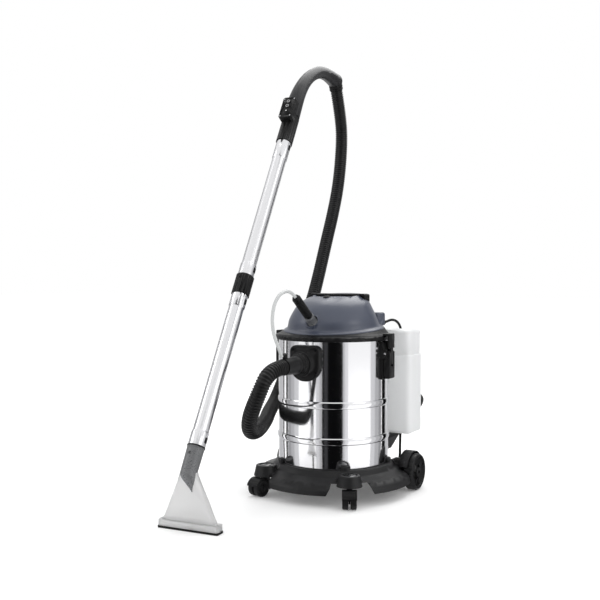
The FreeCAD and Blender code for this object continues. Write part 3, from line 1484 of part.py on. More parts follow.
def half_turn(first, middle, last, centre, radius):
    """Two quarter turns from one place to the next."""
    edges = []
    for begin, end in ((first, middle), (middle, last)):
        between = (begin + end) * 0.5 - centre
        between.normalize()
        edges.append(Part.Arc(begin, centre + between * radius, end).toShape())
    return edges


def least_gap(samples, radius):
    """Least space between turns, leaving out each point's own stretch."""
    spacing = (samples[1] - samples[0]).Length
    skip = int(60 / spacing)
    least = 1e9
    for i in range(0, len(samples) - skip):
        for j in range(i + skip, len(samples)):
            least = min(least, (samples[i] - samples[j]).Length)
    return least - 2 * radius


def power_plug():
    """Two-pin mains plug at the cord's end, lying beside the coil."""
    long = 46.0
    body = rounded_box((-14, 0, -9), (14, long - 8, 9), 5, "y")
    neck = Part.makeCone(6, 9, 14, Vector(0, -14, 0), Vector(0, 1, 0))
    solid = body.fuse(neck)
    face = box((-15.5, long - 10, -10.5), (15.5, long - 6, 10.5))
    face = face.makeFillet(5, [e for e in face.Edges if e.BoundBox.YLength > 3])
    solid = solid.fuse(face)
    for x in (-9.5, 9.5):
        solid = solid.fuse(cylinder(2.4, 22, (x, long - 8, 0), (0, 1, 0)))
    feature = solid_feature("power_plug", solid.removeSplitter())
    seat(feature, "%g - mains_plug_out" % COIL_CENTRE[0], "%g - 14" % COIL_CENTRE[1],
         "mains_plug_high", Rotation(Vector(0, 0, 1), 180))
    return feature


# Wand

def seat_on_wand(feature):
    """Place a piece that is modelled in the wand's upright frame."""
    seat(feature, "wand_x", "wand_y", "0", Rotation(Vector(0, 0, 1), size("wand_turn")))
    return feature


def seat_on_tube(feature, along):
    """Place a piece that is modelled along the tubes' line, Z up the tube."""
    back = "(tube_foot_y + (%s) * sin(wand_lean))" % along
    turn = Rotation(Vector(0, 0, 1), size("wand_turn"))
    lean = Rotation(Vector(1, 0, 0), -size("wand_lean"))
    seat(feature, "wand_x - %s * sin(wand_turn)" % back, "wand_y + %s * cos(wand_turn)" % back,
         "tube_foot_z + (%s) * cos(wand_lean)" % along, turn.multiply(lean))
    return feature


def tube_frame(along):
    """The tubes' frame at a place on their line, as a placement in the machine frame."""
    lean = math.radians(size("wand_lean"))
    turn = math.radians(size("wand_turn"))
    back = size("tube_foot_y") + size(along) * math.sin(lean)
    foot = Vector(size("wand_x") - back * math.sin(turn), size("wand_y") + back * math.cos(turn),
                  size("tube_foot_z") + size(along) * math.cos(lean))
    turned = Rotation(Vector(0, 0, 1), size("wand_turn"))
    return Placement(foot, turned.multiply(Rotation(Vector(1, 0, 0), -size("wand_lean"))))


def window(body, along):
    """Cut a snap button's window through one side of a tube."""
    before = body.Shape.Volume
    sketch = new_sketch(body, "YZ_Plane")
    half = "snap_half + slide_gap"
    tall = "snap_long_half + slide_gap"
    outline(sketch, [("-(%s)" % half, "%s - (%s)" % (along, tall)),
                     (half, "%s - (%s)" % (along, tall)),
                     (half, "%s + %s" % (along, tall)),
                     ("-(%s)" % half, "%s + %s" % (along, tall))])
    pocket = body.newObject("PartDesign::Pocket", "Window")
    pocket.Profile = (sketch, [""])
    pocket.Type = "ThroughAll"
    pocket.Reversed = True
    doc.recompute()
    if body.Shape.Volume > before - 1:
        raise RuntimeError("a window in %s cuts nothing" % body.Label)


def wand_tube(label, along, long, top_bell, places):
    """Polished tube with belled ends and snap windows."""
    body = new_body(label)
    wall = "tube_wall"
    low = "bell_long"
    high = "%s - %s" % (long, top_bell)
    corners = [("bell_radius", "0"), ("bell_radius", low), ("tube_radius", low + " + 4"),
               ("tube_radius", high + " - 4"), ("bell_radius", high), ("bell_radius", long),
               ("bell_radius - " + wall, long), ("bell_radius - " + wall, high),
               ("tube_radius - " + wall, high + " - 4"), ("tube_radius - " + wall, low + " + 4"),
               ("bell_radius - " + wall, low), ("bell_radius - " + wall, "0")]
    turn_profile(body, corners)
    for place in places:
        window(body, place)
    return seat_on_tube(body, along)


BOTTOM_SNAP = "15"
LOWER_LUG = "lower_tube_long - 18"
MIDDLE_SNAP = "lower_tube_long + middle_gap + 18"
TOP_SNAP = "lower_tube_long + middle_gap + upper_tube_long - 16"


def lower_tube():
    return wand_tube("lower_tube", "0", "lower_tube_long", "bell_long",
                     [BOTTOM_SNAP, LOWER_LUG])


def upper_tube():
    return wand_tube("upper_tube", "lower_tube_long + middle_gap", "upper_tube_long",
                     "top_bell_long", ["18", "upper_tube_long - 16"])


def snap_cut(along):
    """The space of a snap button at a place on a spigot, in its own frame."""
    half = size("snap_half + slide_gap")
    tall = size("snap_long_half + slide_gap")
    return box((5, -half, along - tall), (40, half, along + tall))


def middle_sleeve():
    """Black coupling between the tubes, with a spigot into each."""
    spigot = size("bell_radius - tube_wall") - 0.05
    bore = spigot - 2.5
    gap = size("middle_gap")
    outer = size("sleeve_radius")
    reach = size("bell_long") - 2
    solid = revolved([(bore, -reach), (spigot, -reach), (spigot, 0), (outer - 1, 0),
                      (outer, 1), (outer, gap - 1), (outer - 1, gap), (spigot, gap),
                      (spigot, gap + reach), (bore, gap + reach)])
    lug = box((bore + 1, -size("snap_half"), -18 - size("snap_long_half")),
              (size("bell_radius") + 1, size("snap_half"), -18 + size("snap_long_half")))
    dimple = cylinder(3, 1, (0, -outer - 0.2, gap - 14), (0, 1, 0))
    solid = solid.fuse(lug).cut(snap_cut(gap + 18)).cut(dimple)
    feature = solid_feature("middle_sleeve", solid.removeSplitter())
    return seat_on_tube(feature, "lower_tube_long")


def handle_sleeve():
    """Black sleeve under the control box, with a spigot into the upper tube."""
    spigot = size("bell_radius - tube_wall") - 0.05
    bore = spigot - 2.5
    long = size("handle_sleeve_long")
    outer = size("sleeve_radius")
    reach = size("top_bell_long") - 2
    solid = revolved([(bore, -reach), (spigot, -reach), (spigot, 0), (outer - 1, 0),
                      (outer, 1), (outer, long), (bore, long)])
    dimple = cylinder(3, 1, (0, -outer - 0.2, 40), (0, 1, 0))
    solid = solid.cut(snap_cut(-16)).cut(dimple)
    feature = solid_feature("handle_sleeve", solid.removeSplitter())
    return seat_on_tube(feature, "lower_tube_long + middle_gap + upper_tube_long")


def snap_button(label, along):
    """Sprung catch in a window: a block with a wider foot inside the spigot."""
    half = size("snap_half")
    tall = size("snap_long_half")
    block = box((12.4, -half, -tall), (size("bell_radius") + 1.6, half, tall))
    block = block.makeFillet(1.0, [e for e in block.Edges if e.BoundBox.XMin > size("bell_radius")])
    foot = box((12.4, -half - 1.4, -tall - 1.4), (14.2, half + 1.4, tall + 1.4))
    feature = solid_feature(label, block.fuse(foot).removeSplitter())
    return seat_on_tube(feature, along)


# Handle

# Centres of the grip's sections from the sleeve's top, in the tubes' frame:
# back, up, lean in degrees, half thickness, half width.
GRIP_PATH = [(-0.1, 3.2, 0.0, 22.0, 22.0), (-0.1, 79.9, 2.3, 21.0, 21.0),
             (12.1, 136.1, 15.8, 18.8, 18.8), (30.1, 177.6, 27.8, 17.6, 17.8),
             (53.7, 214.5, 36.8, 17.3, 17.5), (81.3, 245.9, 47.8, 18.0, 18.0),
             (117.4, 272.5, 58.8, 19.0, 19.0), (148.8, 289.6, 63.8, 20.5, 21.0),
             (174.8, 300.6, 67.8, 22.0, 22.0)]
CUFF_FOOT = (202.1, 288.8)
CUFF_WAY = (-0.82938, 0.55868)
SLEEVE_TOP = "lower_tube_long + middle_gap + upper_tube_long + handle_sleeve_long"
BOX_FOOT = SLEEVE_TOP + " - sleeve_over_box"


def grip_form(inset):
    """The grip's outer form, or its bore, in the tubes' frame."""
    wires = []
    for y, z, lean, thick, wide in GRIP_PATH:
        wires.append(oval((0, y, z), wide - inset, thick - inset,
                          Rotation(Vector(1, 0, 0), -lean)))
    return loft(wires)


def elbow_piece(radius, extra=0.0):
    """Ball and short tube at the grip's end, down to the swivel cuff."""
    y, z = CUFF_FOOT
    up_y, up_z = CUFF_WAY
    top = size("swivel_long")
    ball_at = Vector(0, y + up_y * (top + 11), z + up_z * (top + 11))
    foot = Vector(0, y + up_y * (top + 0.3 - extra), z + up_z * (top + 0.3 - extra))
    tube = Part.makeCylinder(radius, 12 + extra, foot, Vector(0, up_y, up_z))
    ball = Part.makeSphere(radius + 2, ball_at)
    return ball.fuse(tube)


def upper_shell_region():
    """Side outline of the grip's upper shell, extruded across the wand."""
    line = [(y, z) for y, z, lean, thick, wide in GRIP_PATH[2:7]]
    low = [(y - 1.7, z + 1.9) for y, z in line]
    high = [(y - 44.7, z + 25.5) for y, z in reversed(line)]
    points = [Vector(-40, y, z) for y, z in low + high]
    face = Part.Face(Part.makePolygon(points + [points[0]]))
    return face.extrude(Vector(80, 0, 0))


def handle_grip_lower():
    """Under half of the grip with the elbow for the hose."""
    cuff_at, cuff_way = cuff_spigot()
    room = Part.makeCylinder(21.6, 30, cuff_at - cuff_way * 19.7, cuff_way)
    outer = grip_form(0).fuse(elbow_piece(21.0)).cut(room)
    spigot = Part.makeCylinder(size("cuff_bore - fit_gap"), 14, cuff_at, cuff_way)
    outer = outer.fuse(spigot)
    inner = grip_form(size("grip_wall")).fuse(elbow_piece(21.0 - size("grip_wall")))
    bore = Part.makeCylinder(13.2, size("swivel_long") + 10, cuff_at - cuff_way * 5, cuff_way)
    solid = outer.cut(inner).cut(bore).cut(upper_shell_region())
    pieces = sorted(solid.Solids, key=lambda piece: -piece.Volume)
    return seat_on_tube(solid_feature("handle_grip_lower", pieces[0]), SLEEVE_TOP)


def cuff_spigot():
    y, z = CUFF_FOOT
    up_y, up_z = CUFF_WAY
    low = size("swivel_long") - 10
    return Vector(0, y + up_y * low, z + up_z * low), Vector(0, up_y, up_z)


def handle_grip_upper():
    """Upper half shell of the grip."""
    solid = grip_form(0).cut(grip_form(size("grip_wall"))).common(upper_shell_region())
    pieces = sorted(solid.Solids, key=lambda piece: -piece.Volume)
    return seat_on_tube(solid_feature("handle_grip_upper", pieces[0]), SLEEVE_TOP)


def handle_cuff():
    """Swivel cuff between the grip's elbow and the hose."""
    bore = size("cuff_bore")
    solid = revolved([(bore, 0), (bore + 4, 0), (bore + 4.8, 1.5), (bore + 4.8, 5),
                      (bore + 4, 5.6), (bore + 4, 7.4), (bore + 4.8, 8), (bore + 4.8, 14),
                      (bore + 4, size("swivel_long")), (bore, size("swivel_long"))])
    solid.rotate(Vector(), Vector(1, 0, 0), -math.degrees(math.atan2(CUFF_WAY[0], CUFF_WAY[1])))
    solid.translate(Vector(0, CUFF_FOOT[0], CUFF_FOOT[1]))
    return seat_on_tube(solid_feature("handle_cuff", Part.makeCompound([solid])), SLEEVE_TOP)


def control_box():
    """Switch box on the front of the handle, open towards the sleeve."""
    half = size("box_half")
    long = size("box_long")
    face = size("box_face")
    wall = 3.0
    outer = rounded_box((-half, -face, 0), (half, -6, long), 6, "y")
    edge = [e for e in outer.Edges if e.BoundBox.YMax < -face + 1e-3]
    outer = outer.makeFillet(1.6, edge)
    inner = box((-10.5, -face + wall, 9), (10.5, 0, long - 8))
    solid = outer.cut(inner)
    for at in (size("spray_button_at"), size("stop_button_at")):
        hole = cylinder(size("button_radius + slide_gap"), 8, (0, -face - 1, at), (0, 1, 0))
        solid = solid.cut(hole)
    for x in (-size("box_screw_x"), size("box_screw_x")):
        for z in (size("box_screw_in"), long - size("box_screw_in")):
            hole = cylinder(2.0, 16.5, (x, -face - 1, z), (0, 1, 0))
            sink = cylinder(4.1, 3.4, (x, -face - 1, z), (0, 1, 0))
            solid = solid.cut(hole).cut(sink)
    seam = size("sleeve_over_box")
    grip = grip_form(-size("fit_gap"))
    grip.translate(Vector(0, 0, seam))
    solid = solid.cut(cylinder(size("sleeve_radius"), 80 + seam, (0, 0, -80)))
    solid = solid.cut(cylinder(size("sleeve_radius") + 1.0, 100, (0, 0, seam))).cut(grip)
    return seat_on_tube(solid_feature("control_box", solid.removeSplitter()), BOX_FOOT)


def control_button(label, at):
    """Round button with a wider foot behind the box's face."""
    face = size("box_face")
    radius = size("button_radius")
    cap = cylinder(radius, 7.2, (0, -face - 2.2, at), (0, 1, 0))
    cap = cap.makeFillet(0.8, [e for e in cap.Edges if e.BoundBox.YMax < -face - 2.1])
    foot = cylinder(radius + 1.6, 1.7, (0, -face + 3.3, at), (0, 1, 0))
    feature = solid_feature(label, cap.fuse(foot).removeSplitter())
    return seat_on_tube(feature, BOX_FOOT)


def cross_screws():
    """All the small cross-head screws of one size."""
    screws = []
    front = size("drum_radius + flange_depth")
    for x, z in flange_screw_places():
        screw = pan_screw()
        screw.Placement = Placement(Vector(x, -front + 0.2, z), Rotation(Vector(1, 0, 0), 90))
        screws.append(screw)
    frame = tube_frame(BOX_FOOT)
    for x in (-size("box_screw_x"), size("box_screw_x")):
        for z in (size("box_screw_in"), size("box_long") - size("box_screw_in")):
            screw = pan_screw()
            local = Placement(Vector(x, -size("box_face") + 0.2, z), Rotation(Vector(1, 0, 0), 90))
            screw.Placement = frame.multiply(local)
            screws.append(screw)
    return machine_piece("cross_screws", Part.makeCompound(screws))


# Nozzle


def nozzle_neck():
    """Grey neck from the clear nozzle up into the lower tube."""
    lean = size("wand_lean")
    up = Vector(0, math.sin(math.radians(lean)), math.cos(math.radians(lean)))
    top = Vector(0, size("tube_foot_y"), size("tube_foot_z"))
    spigot_radius = size("bell_radius - tube_wall") - 0.05
    long = 100.0
    slope = (size("neck_top_radius") - size("neck_foot_radius")) / 60
    wide = size("neck_top_radius")
    cone = Part.makeCone(wide, wide - slope * long, long, top, up * -1)
    spigot = Part.makeCylinder(spigot_radius, size("bell_long"), top - up * 2, up)
    band = Part.makeCylinder(size("bell_radius") + 0.6, 3, top - up * 3.2, up)
    solid = cone.fuse(band).fuse(spigot)
    bore = Part.makeCylinder(spigot_radius - 3.5, 200, top - up * 100, up)
    notch = snap_cut(size(BOTTOM_SNAP))
    notch.Placement = Placement(top, Rotation(Vector(1, 0, 0), -lean))
    hole = cylinder(3.2, 5, (0, -size("neck_top_radius") - 2, -22), (0, 1, 0))
    hole.Placement = Placement(top, Rotation(Vector(1, 0, 0), -lean))
    solid = solid.cut(bore).cut(notch).cut(hole)
    solid = solid.cut(box((-60, -200, -50), (60, 200, size("neck_floor"))))
    return seat_on_wand(solid_feature("nozzle_neck", solid))


def nozzle_form(inset):
    """Flat, fanned duct: round at the neck, a long slot at the lip."""
    wires = []
    rows = [(size("neck_floor"), 1.2, 18.9, 22.0, 2.0), (112.0, 2.6, 26.5, 19.0, 2.4),
            (85.0, 4.0, 38.5, 15.5, 3.2), (50.0, 5.0, 54.0, 12.5, 4.5),
            (24.0, 5.2, 66.5, 8.7, 6.0), (17.0, 5.2, 70.0, 8.2, 7.0)]
    for z, y, half_x, half_y, power in rows:
        wires.append(oval((0, y, z), half_x - inset, half_y - inset, None, power))
    return loft(wires)


def nozzle_body():
    """Clear frosted duct of the nozzle."""
    solid = nozzle_form(0)
    inner = nozzle_form(size("nozzle_wall"))
    solid = solid.cut(inner)
    return seat_on_wand(solid_feature("nozzle_body", solid))


def nozzle_lip():
    """Thick clear lip round the nozzle's mouth."""
    half = size("lip_half")
    deep = size("lip_deep")
    low = size("squeegee_high")
    high = low + size("lip_high")
    front = 5.2 - deep / 2
    solid = rounded_box((-half, front, low), (half, front + deep, high), 4, "z")
    top = [e for e in solid.Edges if e.BoundBox.ZMin > high - 1e-3]
    solid = solid.makeFillet(2, top)
    slot = rounded_box((-half + 9.3, 5.2 - 7.6, low - 1), (half - 9.3, 5.2 + 7.6, high + 1), 3, "z")
    solid = solid.cut(slot)
    solid = solid.cut(nozzle_form(-0.2))
    jet = cylinder(size("jet_radius") + size("run_gap"), 40, (0, front + deep - size("jet_in"), 0))
    solid = solid.cut(jet)
    pieces = sorted(solid.Solids, key=lambda piece: -piece.Volume)
    return seat_on_wand(solid_feature("nozzle_lip", pieces[0]))


def squeegee():
    """Black rubber strip under the lip, open at the slot."""
    half = size("lip_half") + 0.8
    deep = size("lip_deep")
    high = size("squeegee_high")
    front = 5.2 - deep / 2
    solid = rounded_box((-half, front - 0.6, 0), (half, front + deep + 0.6, high), 3, "z")
    slot = rounded_box((-half + 10, 5.2 - 7.6, -1), (half - 10, 5.2 + 7.6, high + 1), 3, "z")
    jet = cylinder(2.6, 40, (0, front + deep - size("jet_in"), -10))
    return seat_on_wand(solid_feature("squeegee", solid.cut(slot).cut(jet)))


def spray_jet():
    """Brass jet in the lip's rear bar."""
    deep = size("lip_deep")
    front = 5.2 - deep / 2
    low = size("squeegee_high")
    y = front + deep - size("jet_in")
    stem = cylinder(size("jet_radius"), size("lip_high") + 5, (0, y, low + 1))
    solid = stem.cut(cylinder(0.8, 60, (0, y, 0)))
    return seat_on_wand(solid_feature("spray_jet", solid))


# All the sub-parts

def make_all():
    base_trolley()
    pod_caps()
    for label, side in (("left", -1), ("right", 1)):
        turn = "caster_%s_turn" % label
        caster_fork("caster_fork_" + label, side, turn)
        caster_wheel("caster_wheel_" + label, side, turn)
        rear_wheel("rear_wheel_" + label, side)
        latch_lever("latch_lever_" + label, side)
        latch_hook("latch_hook_" + label, side)
    rear_axle()
    steel_drum()
    inlet_flange()
    hose_cuff()
    latch_brackets()
    latch_pins()
    lid_ring()
    lid_gasket()
    motor_cover()
    power_switch()
    carry_handle()
    cord_gland()
    motor()
    turbine_rotor()
    pump()
    float_cage()
    float_ball()
    foam_filter()
    solution_tank()
    tank_cap()
    tank_bracket()
    feed_tube()
    spray_plug()
    plug_collar()
    solution_tube()
    suction_hose()
    power_cord()
    cord_coil()
    power_plug()
    lower_tube()
    upper_tube()
    middle_sleeve()
    handle_sleeve()
    snap_button("snap_button_bottom", BOTTOM_SNAP)
    snap_button("snap_button_middle", MIDDLE_SNAP)
    snap_button("snap_button_top", TOP_SNAP)
    handle_grip_lower()
    handle_grip_upper()
    handle_cuff()
    control_box()
    control_button("spray_button", size("spray_button_at"))
    control_button("stop_button", size("stop_button_at"))
    cross_screws()
    nozzle_neck()
    nozzle_body()
    nozzle_lip()
    squeegee()
    spray_jet()


def check_all():
    """Stop on any failed object, and on any sub-part without a sound shape."""
    doc.recompute()
    for thing in doc.Objects:
        if "Invalid" in thing.State or "Error" in thing.State:
            raise RuntimeError("%s failed: %s" % (thing.Label, thing.State))
    whole = FreeCAD.BoundBox()
    for thing in NODES:
        shape = thing.Shape
        if shape.isNull() or not shape.isValid():
            raise RuntimeError("%s has no sound shape" % thing.Label)
        if thing.Label not in CORD_NODES:
            whole.add(shape.BoundBox)
    print("%d sub-parts, without cords X %.1f to %.1f, Y %.1f to %.1f, Z %.1f to %.1f" %
          (len(NODES), whole.XMin, whole.XMax, whole.YMin, whole.YMax, whole.ZMin, whole.ZMax))


CORD_NODES = {"suction_hose", "solution_tube", "power_cord", "cord_coil", "power_plug"}


def write_all():
    os.makedirs("parts", exist_ok=True)
    for thing in NODES:
        thing.Shape.exportStep("parts/%s.step" % thing.Label)


make_all()
check_all()
write_all()
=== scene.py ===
"""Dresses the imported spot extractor: its finishes, hose, cords, small fittings, studio and camera."""
import json
import math
from bisect import bisect_right
from contextlib import contextmanager

import bmesh
import bpy
from bpy.props import FloatProperty, FloatVectorProperty, IntProperty, PointerProperty
from mathutils import Matrix, Vector


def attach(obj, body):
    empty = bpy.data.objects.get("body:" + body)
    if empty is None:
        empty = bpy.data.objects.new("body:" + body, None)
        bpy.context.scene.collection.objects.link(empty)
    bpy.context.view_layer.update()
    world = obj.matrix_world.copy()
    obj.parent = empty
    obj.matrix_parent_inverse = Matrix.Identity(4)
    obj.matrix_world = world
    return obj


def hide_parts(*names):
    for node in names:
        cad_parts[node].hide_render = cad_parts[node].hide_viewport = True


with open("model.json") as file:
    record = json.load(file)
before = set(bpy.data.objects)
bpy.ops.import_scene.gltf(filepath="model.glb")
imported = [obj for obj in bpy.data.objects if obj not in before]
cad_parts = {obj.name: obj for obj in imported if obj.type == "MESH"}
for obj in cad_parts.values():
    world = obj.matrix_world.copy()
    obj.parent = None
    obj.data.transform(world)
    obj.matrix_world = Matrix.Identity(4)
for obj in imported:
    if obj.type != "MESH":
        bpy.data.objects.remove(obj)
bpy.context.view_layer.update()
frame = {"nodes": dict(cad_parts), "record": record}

bl_info = {
    "name": "Spot Extractor",
    "version": (1, 0, 0),
    "blender": (4, 5, 0),
    "location": "View3D > Sidebar > Extractor",
    "description": "Finishes, hose, cords and studio for a wheeled spot extractor",
    "category": "Object",
}

NODES = frame["nodes"]
BODY_OF = {node: body for body, members in frame["record"]["behaviour"]["bodies"].items()
           for node in members}
SLOT_OF = {entry["node"]: entry["material_slot"] for entry in frame["record"]["subparts"]}

# Places and sizes are in metres, but for the routes in millimetres and what says otherwise

# The machine's axis, and the drum round it
AXIS_BACK = 0.0763
DRUM_RADIUS = 0.145
DRUM_LOW = 0.061
DRUM_TOP = 0.404
DRUM_SHEET = 0.0008
FLOOR_EDGE = 0.006
FLOOR_SHEET = 0.001
AXIS_RING = 0.001
BEAD_HEIGHTS = (0.149, 0.24)
BEAD_OUT = 0.003
BEAD_HALF = 0.009
RIM_ROLL = 0.0024
INLET_HIGH = 0.345
INLET_RADIUS = 0.0215
INLET_CUT = 0.06

# The wand: the nozzle's frame on the floor, and the tubes' line that leans back from it
WAND_TURN = math.radians(5)
WAND_LEAN = math.radians(31.2)
NOZZLE_PLACE = (-0.098, AXIS_BACK - 0.5, 0)
TUBE_FOOT = (0, 0.0326, 0.1818)
NOZZLE_FRAME = Matrix.Translation(NOZZLE_PLACE) @ Matrix.Rotation(WAND_TURN, 4, "Z")
TUBE_LINE = NOZZLE_FRAME @ Matrix.Translation(TUBE_FOOT) @ Matrix.Rotation(-WAND_LEAN, 4, "X")
FACE_FRONT = Matrix.Rotation(math.pi / 2, 4, "X")


def linear(code):
    """An sRGB hex colour as linear red, green and blue."""
    values = [int(code[i:i + 2], 16) / 255 for i in (1, 3, 5)]
    return [v / 12.92 if v <= 0.04045 else ((v + 0.055) / 1.055) ** 2.4 for v in values]


def millimetres(points):
    """Points of the machine's own frame, in millimetres, as row-frame metres."""
    return [Vector((x / 1000, y / 1000 + AXIS_BACK, z / 1000)) for x, y, z in points]


# Settings that a user would change

def colour(name, code, about):
    return FloatVectorProperty(name=name, description=about, subtype="COLOR", size=3,
                               min=0, max=1, default=linear(code))


class ExtractorColours(bpy.types.PropertyGroup):
    """Colours of the visible finishes."""
    moulding: colour("Black moulding", "#0f0f10", "Lid ring, inlet, brackets and sleeves")
    cover: colour("Motor cover", "#454a58", "Blue-grey shell over the motor")
    steel: colour("Drum steel", "#ececee", "Polished drum")
    tube: colour("Wand tube", "#e6e6e8", "Satin extension tubes")
    hose: colour("Hose", "#0a0a0b", "Ribbed suction hose")
    tank: colour("Solution tank", "#e9eaea", "Milky translucent tank")
    grip: colour("Handle grip", "#1d1d1f", "Satin dark grip of the wand")
    nozzle: colour("Nozzle", "#f4f4f4", "Frosted clear nozzle")


class ExtractorSizes(bpy.types.PropertyGroup):
    """Sizes of the pieces that are made here."""
    hose_radius: FloatProperty(name="Hose radius", description="Outside of the hose's ribs",
                               default=0.019, min=0.01, max=0.03, unit="LENGTH")
    hose_root: FloatProperty(name="Hose root", description="Outside of the hose between ribs",
                             default=0.0169, min=0.008, max=0.03, unit="LENGTH")
    hose_ribs: IntProperty(name="Hose ribs", description="Ribs along the whole hose",
                           default=236, min=20, max=260)
    cord_radius: FloatProperty(name="Cord radius", description="Radius of the mains cord",
                               default=0.0037, min=0.002, max=0.006, unit="LENGTH")
    tube_radius: FloatProperty(name="Tube radius", description="Radius of the solution tube",
                               default=0.0042, min=0.002, max=0.008, unit="LENGTH")


# Materials

def add_node(tree, kind, inputs=None, links=None, **settings):
    """A shader node with its settings, its values and its links from other sockets."""
    made = tree.nodes.new(kind)
    for name, value in settings.items():
        setattr(made, name, value)
    for name, value in (inputs or {}).items():
        made.inputs[name].default_value = value
    for name, socket in (links or {}).items():
        tree.links.new(socket, made.inputs[name])
    return made


def new_material(name, base, roughness, **values):
    """A material with one principled shader; returns it, its tree, shader and place node."""
    made = bpy.data.materials.new(name)
    made.use_nodes = True
    tree = made.node_tree
    shader = tree.nodes["Principled BSDF"]
    shader.inputs["Base Color"].default_value = (*base, 1)
    shader.inputs["Roughness"].default_value = roughness
    for key, value in values.items():
        shader.inputs[key.replace("_", " ")].default_value = value
    place = add_node(tree, "ShaderNodeTexCoord")
    return made, tree, shader, place


def noise_over(tree, place, scale, stretch=(1, 1, 1), turn=(0, 0, 0)):
    """Noise over the surface, its scale in cells per metre."""
    mapping = add_node(tree, "ShaderNodeMapping", {"Scale": stretch, "Rotation": turn},
                       {"Vector": place.outputs["Object"]})
    return add_node(tree, "ShaderNodeTexNoise", {"Scale": scale, "Detail": 4.0},
                    {"Vector": mapping.outputs["Vector"]})


def grain(tree, shader, place, scale, strength, stretch=(1, 1, 1), depth=0.0002):
    """A fine surface grain: bump from noise, which is returned."""
    noise = noise_over(tree, place, scale, stretch)
    bump = add_node(tree, "ShaderNodeBump", {"Strength": strength, "Distance": depth},
                    {"Height": noise.outputs["Fac"]})
    tree.links.new(bump.outputs["Normal"], shader.inputs["Normal"])
    return noise


def vary(tree, shader, noise, low, high):
    """Let a noise, most of it between 0.35 and 0.65, move the roughness between two limits."""
    ramp = add_node(tree, "ShaderNodeMapRange",
                    {"From Min": 0.35, "From Max": 0.65, "To Min": low, "To Max": high},
                    {"Value": noise.outputs["Fac"]})
    tree.links.new(ramp.outputs["Result"], shader.inputs["Roughness"])


def tint(tree, shader, place, base, scale, amount):
    """A slow, faint change of colour over the surface."""
    noise = add_node(tree, "ShaderNodeTexNoise", {"Scale": scale, "Detail": 3.0},
                     {"Vector": place.outputs["Object"]})
    mix = add_node(tree, "ShaderNodeMix", data_type="RGBA")
    mix.inputs["A"].default_value = (*[c * (1 - amount) for c in base], 1)
    mix.inputs["B"].default_value = (*[min(c * (1 + amount), 1) for c in base], 1)
    tree.links.new(noise.outputs["Fac"], mix.inputs["Factor"])
    tree.links.new(mix.outputs["Result"], shader.inputs["Base Color"])


def moulded_black(base):
    """Injection-moulded polypropylene, fine spark-eroded texture: a soft, broken sheen."""
    made, tree, shader, place = new_material("Black moulded polypropylene", base, 0.42,
                                             IOR=1.49, Specular_IOR_Level=0.22)
    # Grain of the mould is about 0.5 mm, drawn as 1 mm so that it shows at this distance
    noise = grain(tree, shader, place, 1000, 0.12)
    vary(tree, shader, noise, 0.36, 0.5)
    tint(tree, shader, place, base, 14, 0.25)
    return made


def moulded_grey(name, base, roughness, coat=0.0, gloss=0.4):
    """Injection-moulded plastic: even colour, closed surface, slight orange peel."""
    made, tree, shader, place = new_material(name, base, roughness, IOR=1.53, Coat_Weight=coat,
                                             Coat_Roughness=0.2, Specular_IOR_Level=gloss)
    noise = grain(tree, shader, place, 500, 0.06)
    vary(tree, shader, noise, roughness - 0.04, roughness + 0.05)
    tint(tree, shader, place, base, 9, 0.06)
    return made


def polished_steel(base):
    """Mirror-polished stainless sheet: sharp reflections with faint polishing haze round it."""
    made, tree, shader, place = new_material("Mirror-polished stainless steel", base, 0.1,
                                             Metallic=1.0)
    # Polishing lines run round the drum: short in Z, long sideways
    noise = grain(tree, shader, place, 60, 0.012, stretch=(0.3, 0.3, 14), depth=0.0005)
    vary(tree, shader, noise, 0.07, 0.13)
    return made


def satin_tube(base):
    """Drawn and polished steel tube: soft highlights drawn out along the tube."""
    made, tree, shader, place = new_material("Brushed chromed tube", base, 0.27,
                                             Metallic=1.0)
    noise = noise_over(tree, place, 60, (1, 1, 0.05), (WAND_LEAN, 0, 0))
    vary(tree, shader, noise, 0.24, 0.27)
    return made


def plain_metal(name, base, roughness):
    """Zinc-plated or turned metal with faint tool marks."""
    made, tree, shader, place = new_material(name, base, roughness, Metallic=1.0)
    noise = grain(tree, shader, place, 700, 0.08)
    vary(tree, shader, noise, roughness - 0.06, roughness + 0.1)
    return made


def rubber(name, base, roughness):
    """Moulded rubber: matt, with a soft bloom of lighter grey."""
    made, tree, shader, place = new_material(name, base, roughness, IOR=1.52,
                                             Specular_IOR_Level=0.22, Sheen_Weight=0.03,
                                             Sheen_Roughness=0.4)
    noise = grain(tree, shader, place, 1400, 0.12)
    vary(tree, shader, noise, roughness - 0.06, roughness + 0.08)
    tint(tree, shader, place, base, 20, 0.2)
    return made


def milky_tank_painted_glow(base):
    """Blow-moulded polyethylene: light goes in and comes out soft; its faint glow in its own colour is
    painted light.
    """
    # The emission gives the tank a faint glow in its own colour: painted light, not light through its
    # wall.
    made, tree, shader, place = new_material("Milky polyethylene painted glow", base, 0.36, IOR=1.51,
                                             Transmission_Weight=0.08,
                                             Subsurface_Weight=0.7, Subsurface_Scale=0.03,
                                             Emission_Strength=0.12)
    shader.inputs["Emission Color"].default_value = (*base, 1)
    shader.inputs["Subsurface Radius"].default_value = (1.0, 1.0, 0.95)
    noise = grain(tree, shader, place, 220, 0.08, depth=0.0004)
    vary(tree, shader, noise, 0.3, 0.42)
    return made


def frosted_clear(name, base, weight, roughness):
    """Moulded clear plastic with a frosted skin: shape shows, detail behind is lost."""
    made, tree, shader, place = new_material(name, base, roughness, IOR=1.49,
                                             Transmission_Weight=weight)
    noise = grain(tree, shader, place, 420, 0.02)
    vary(tree, shader, noise, roughness - 0.04, roughness + 0.04)
    return made


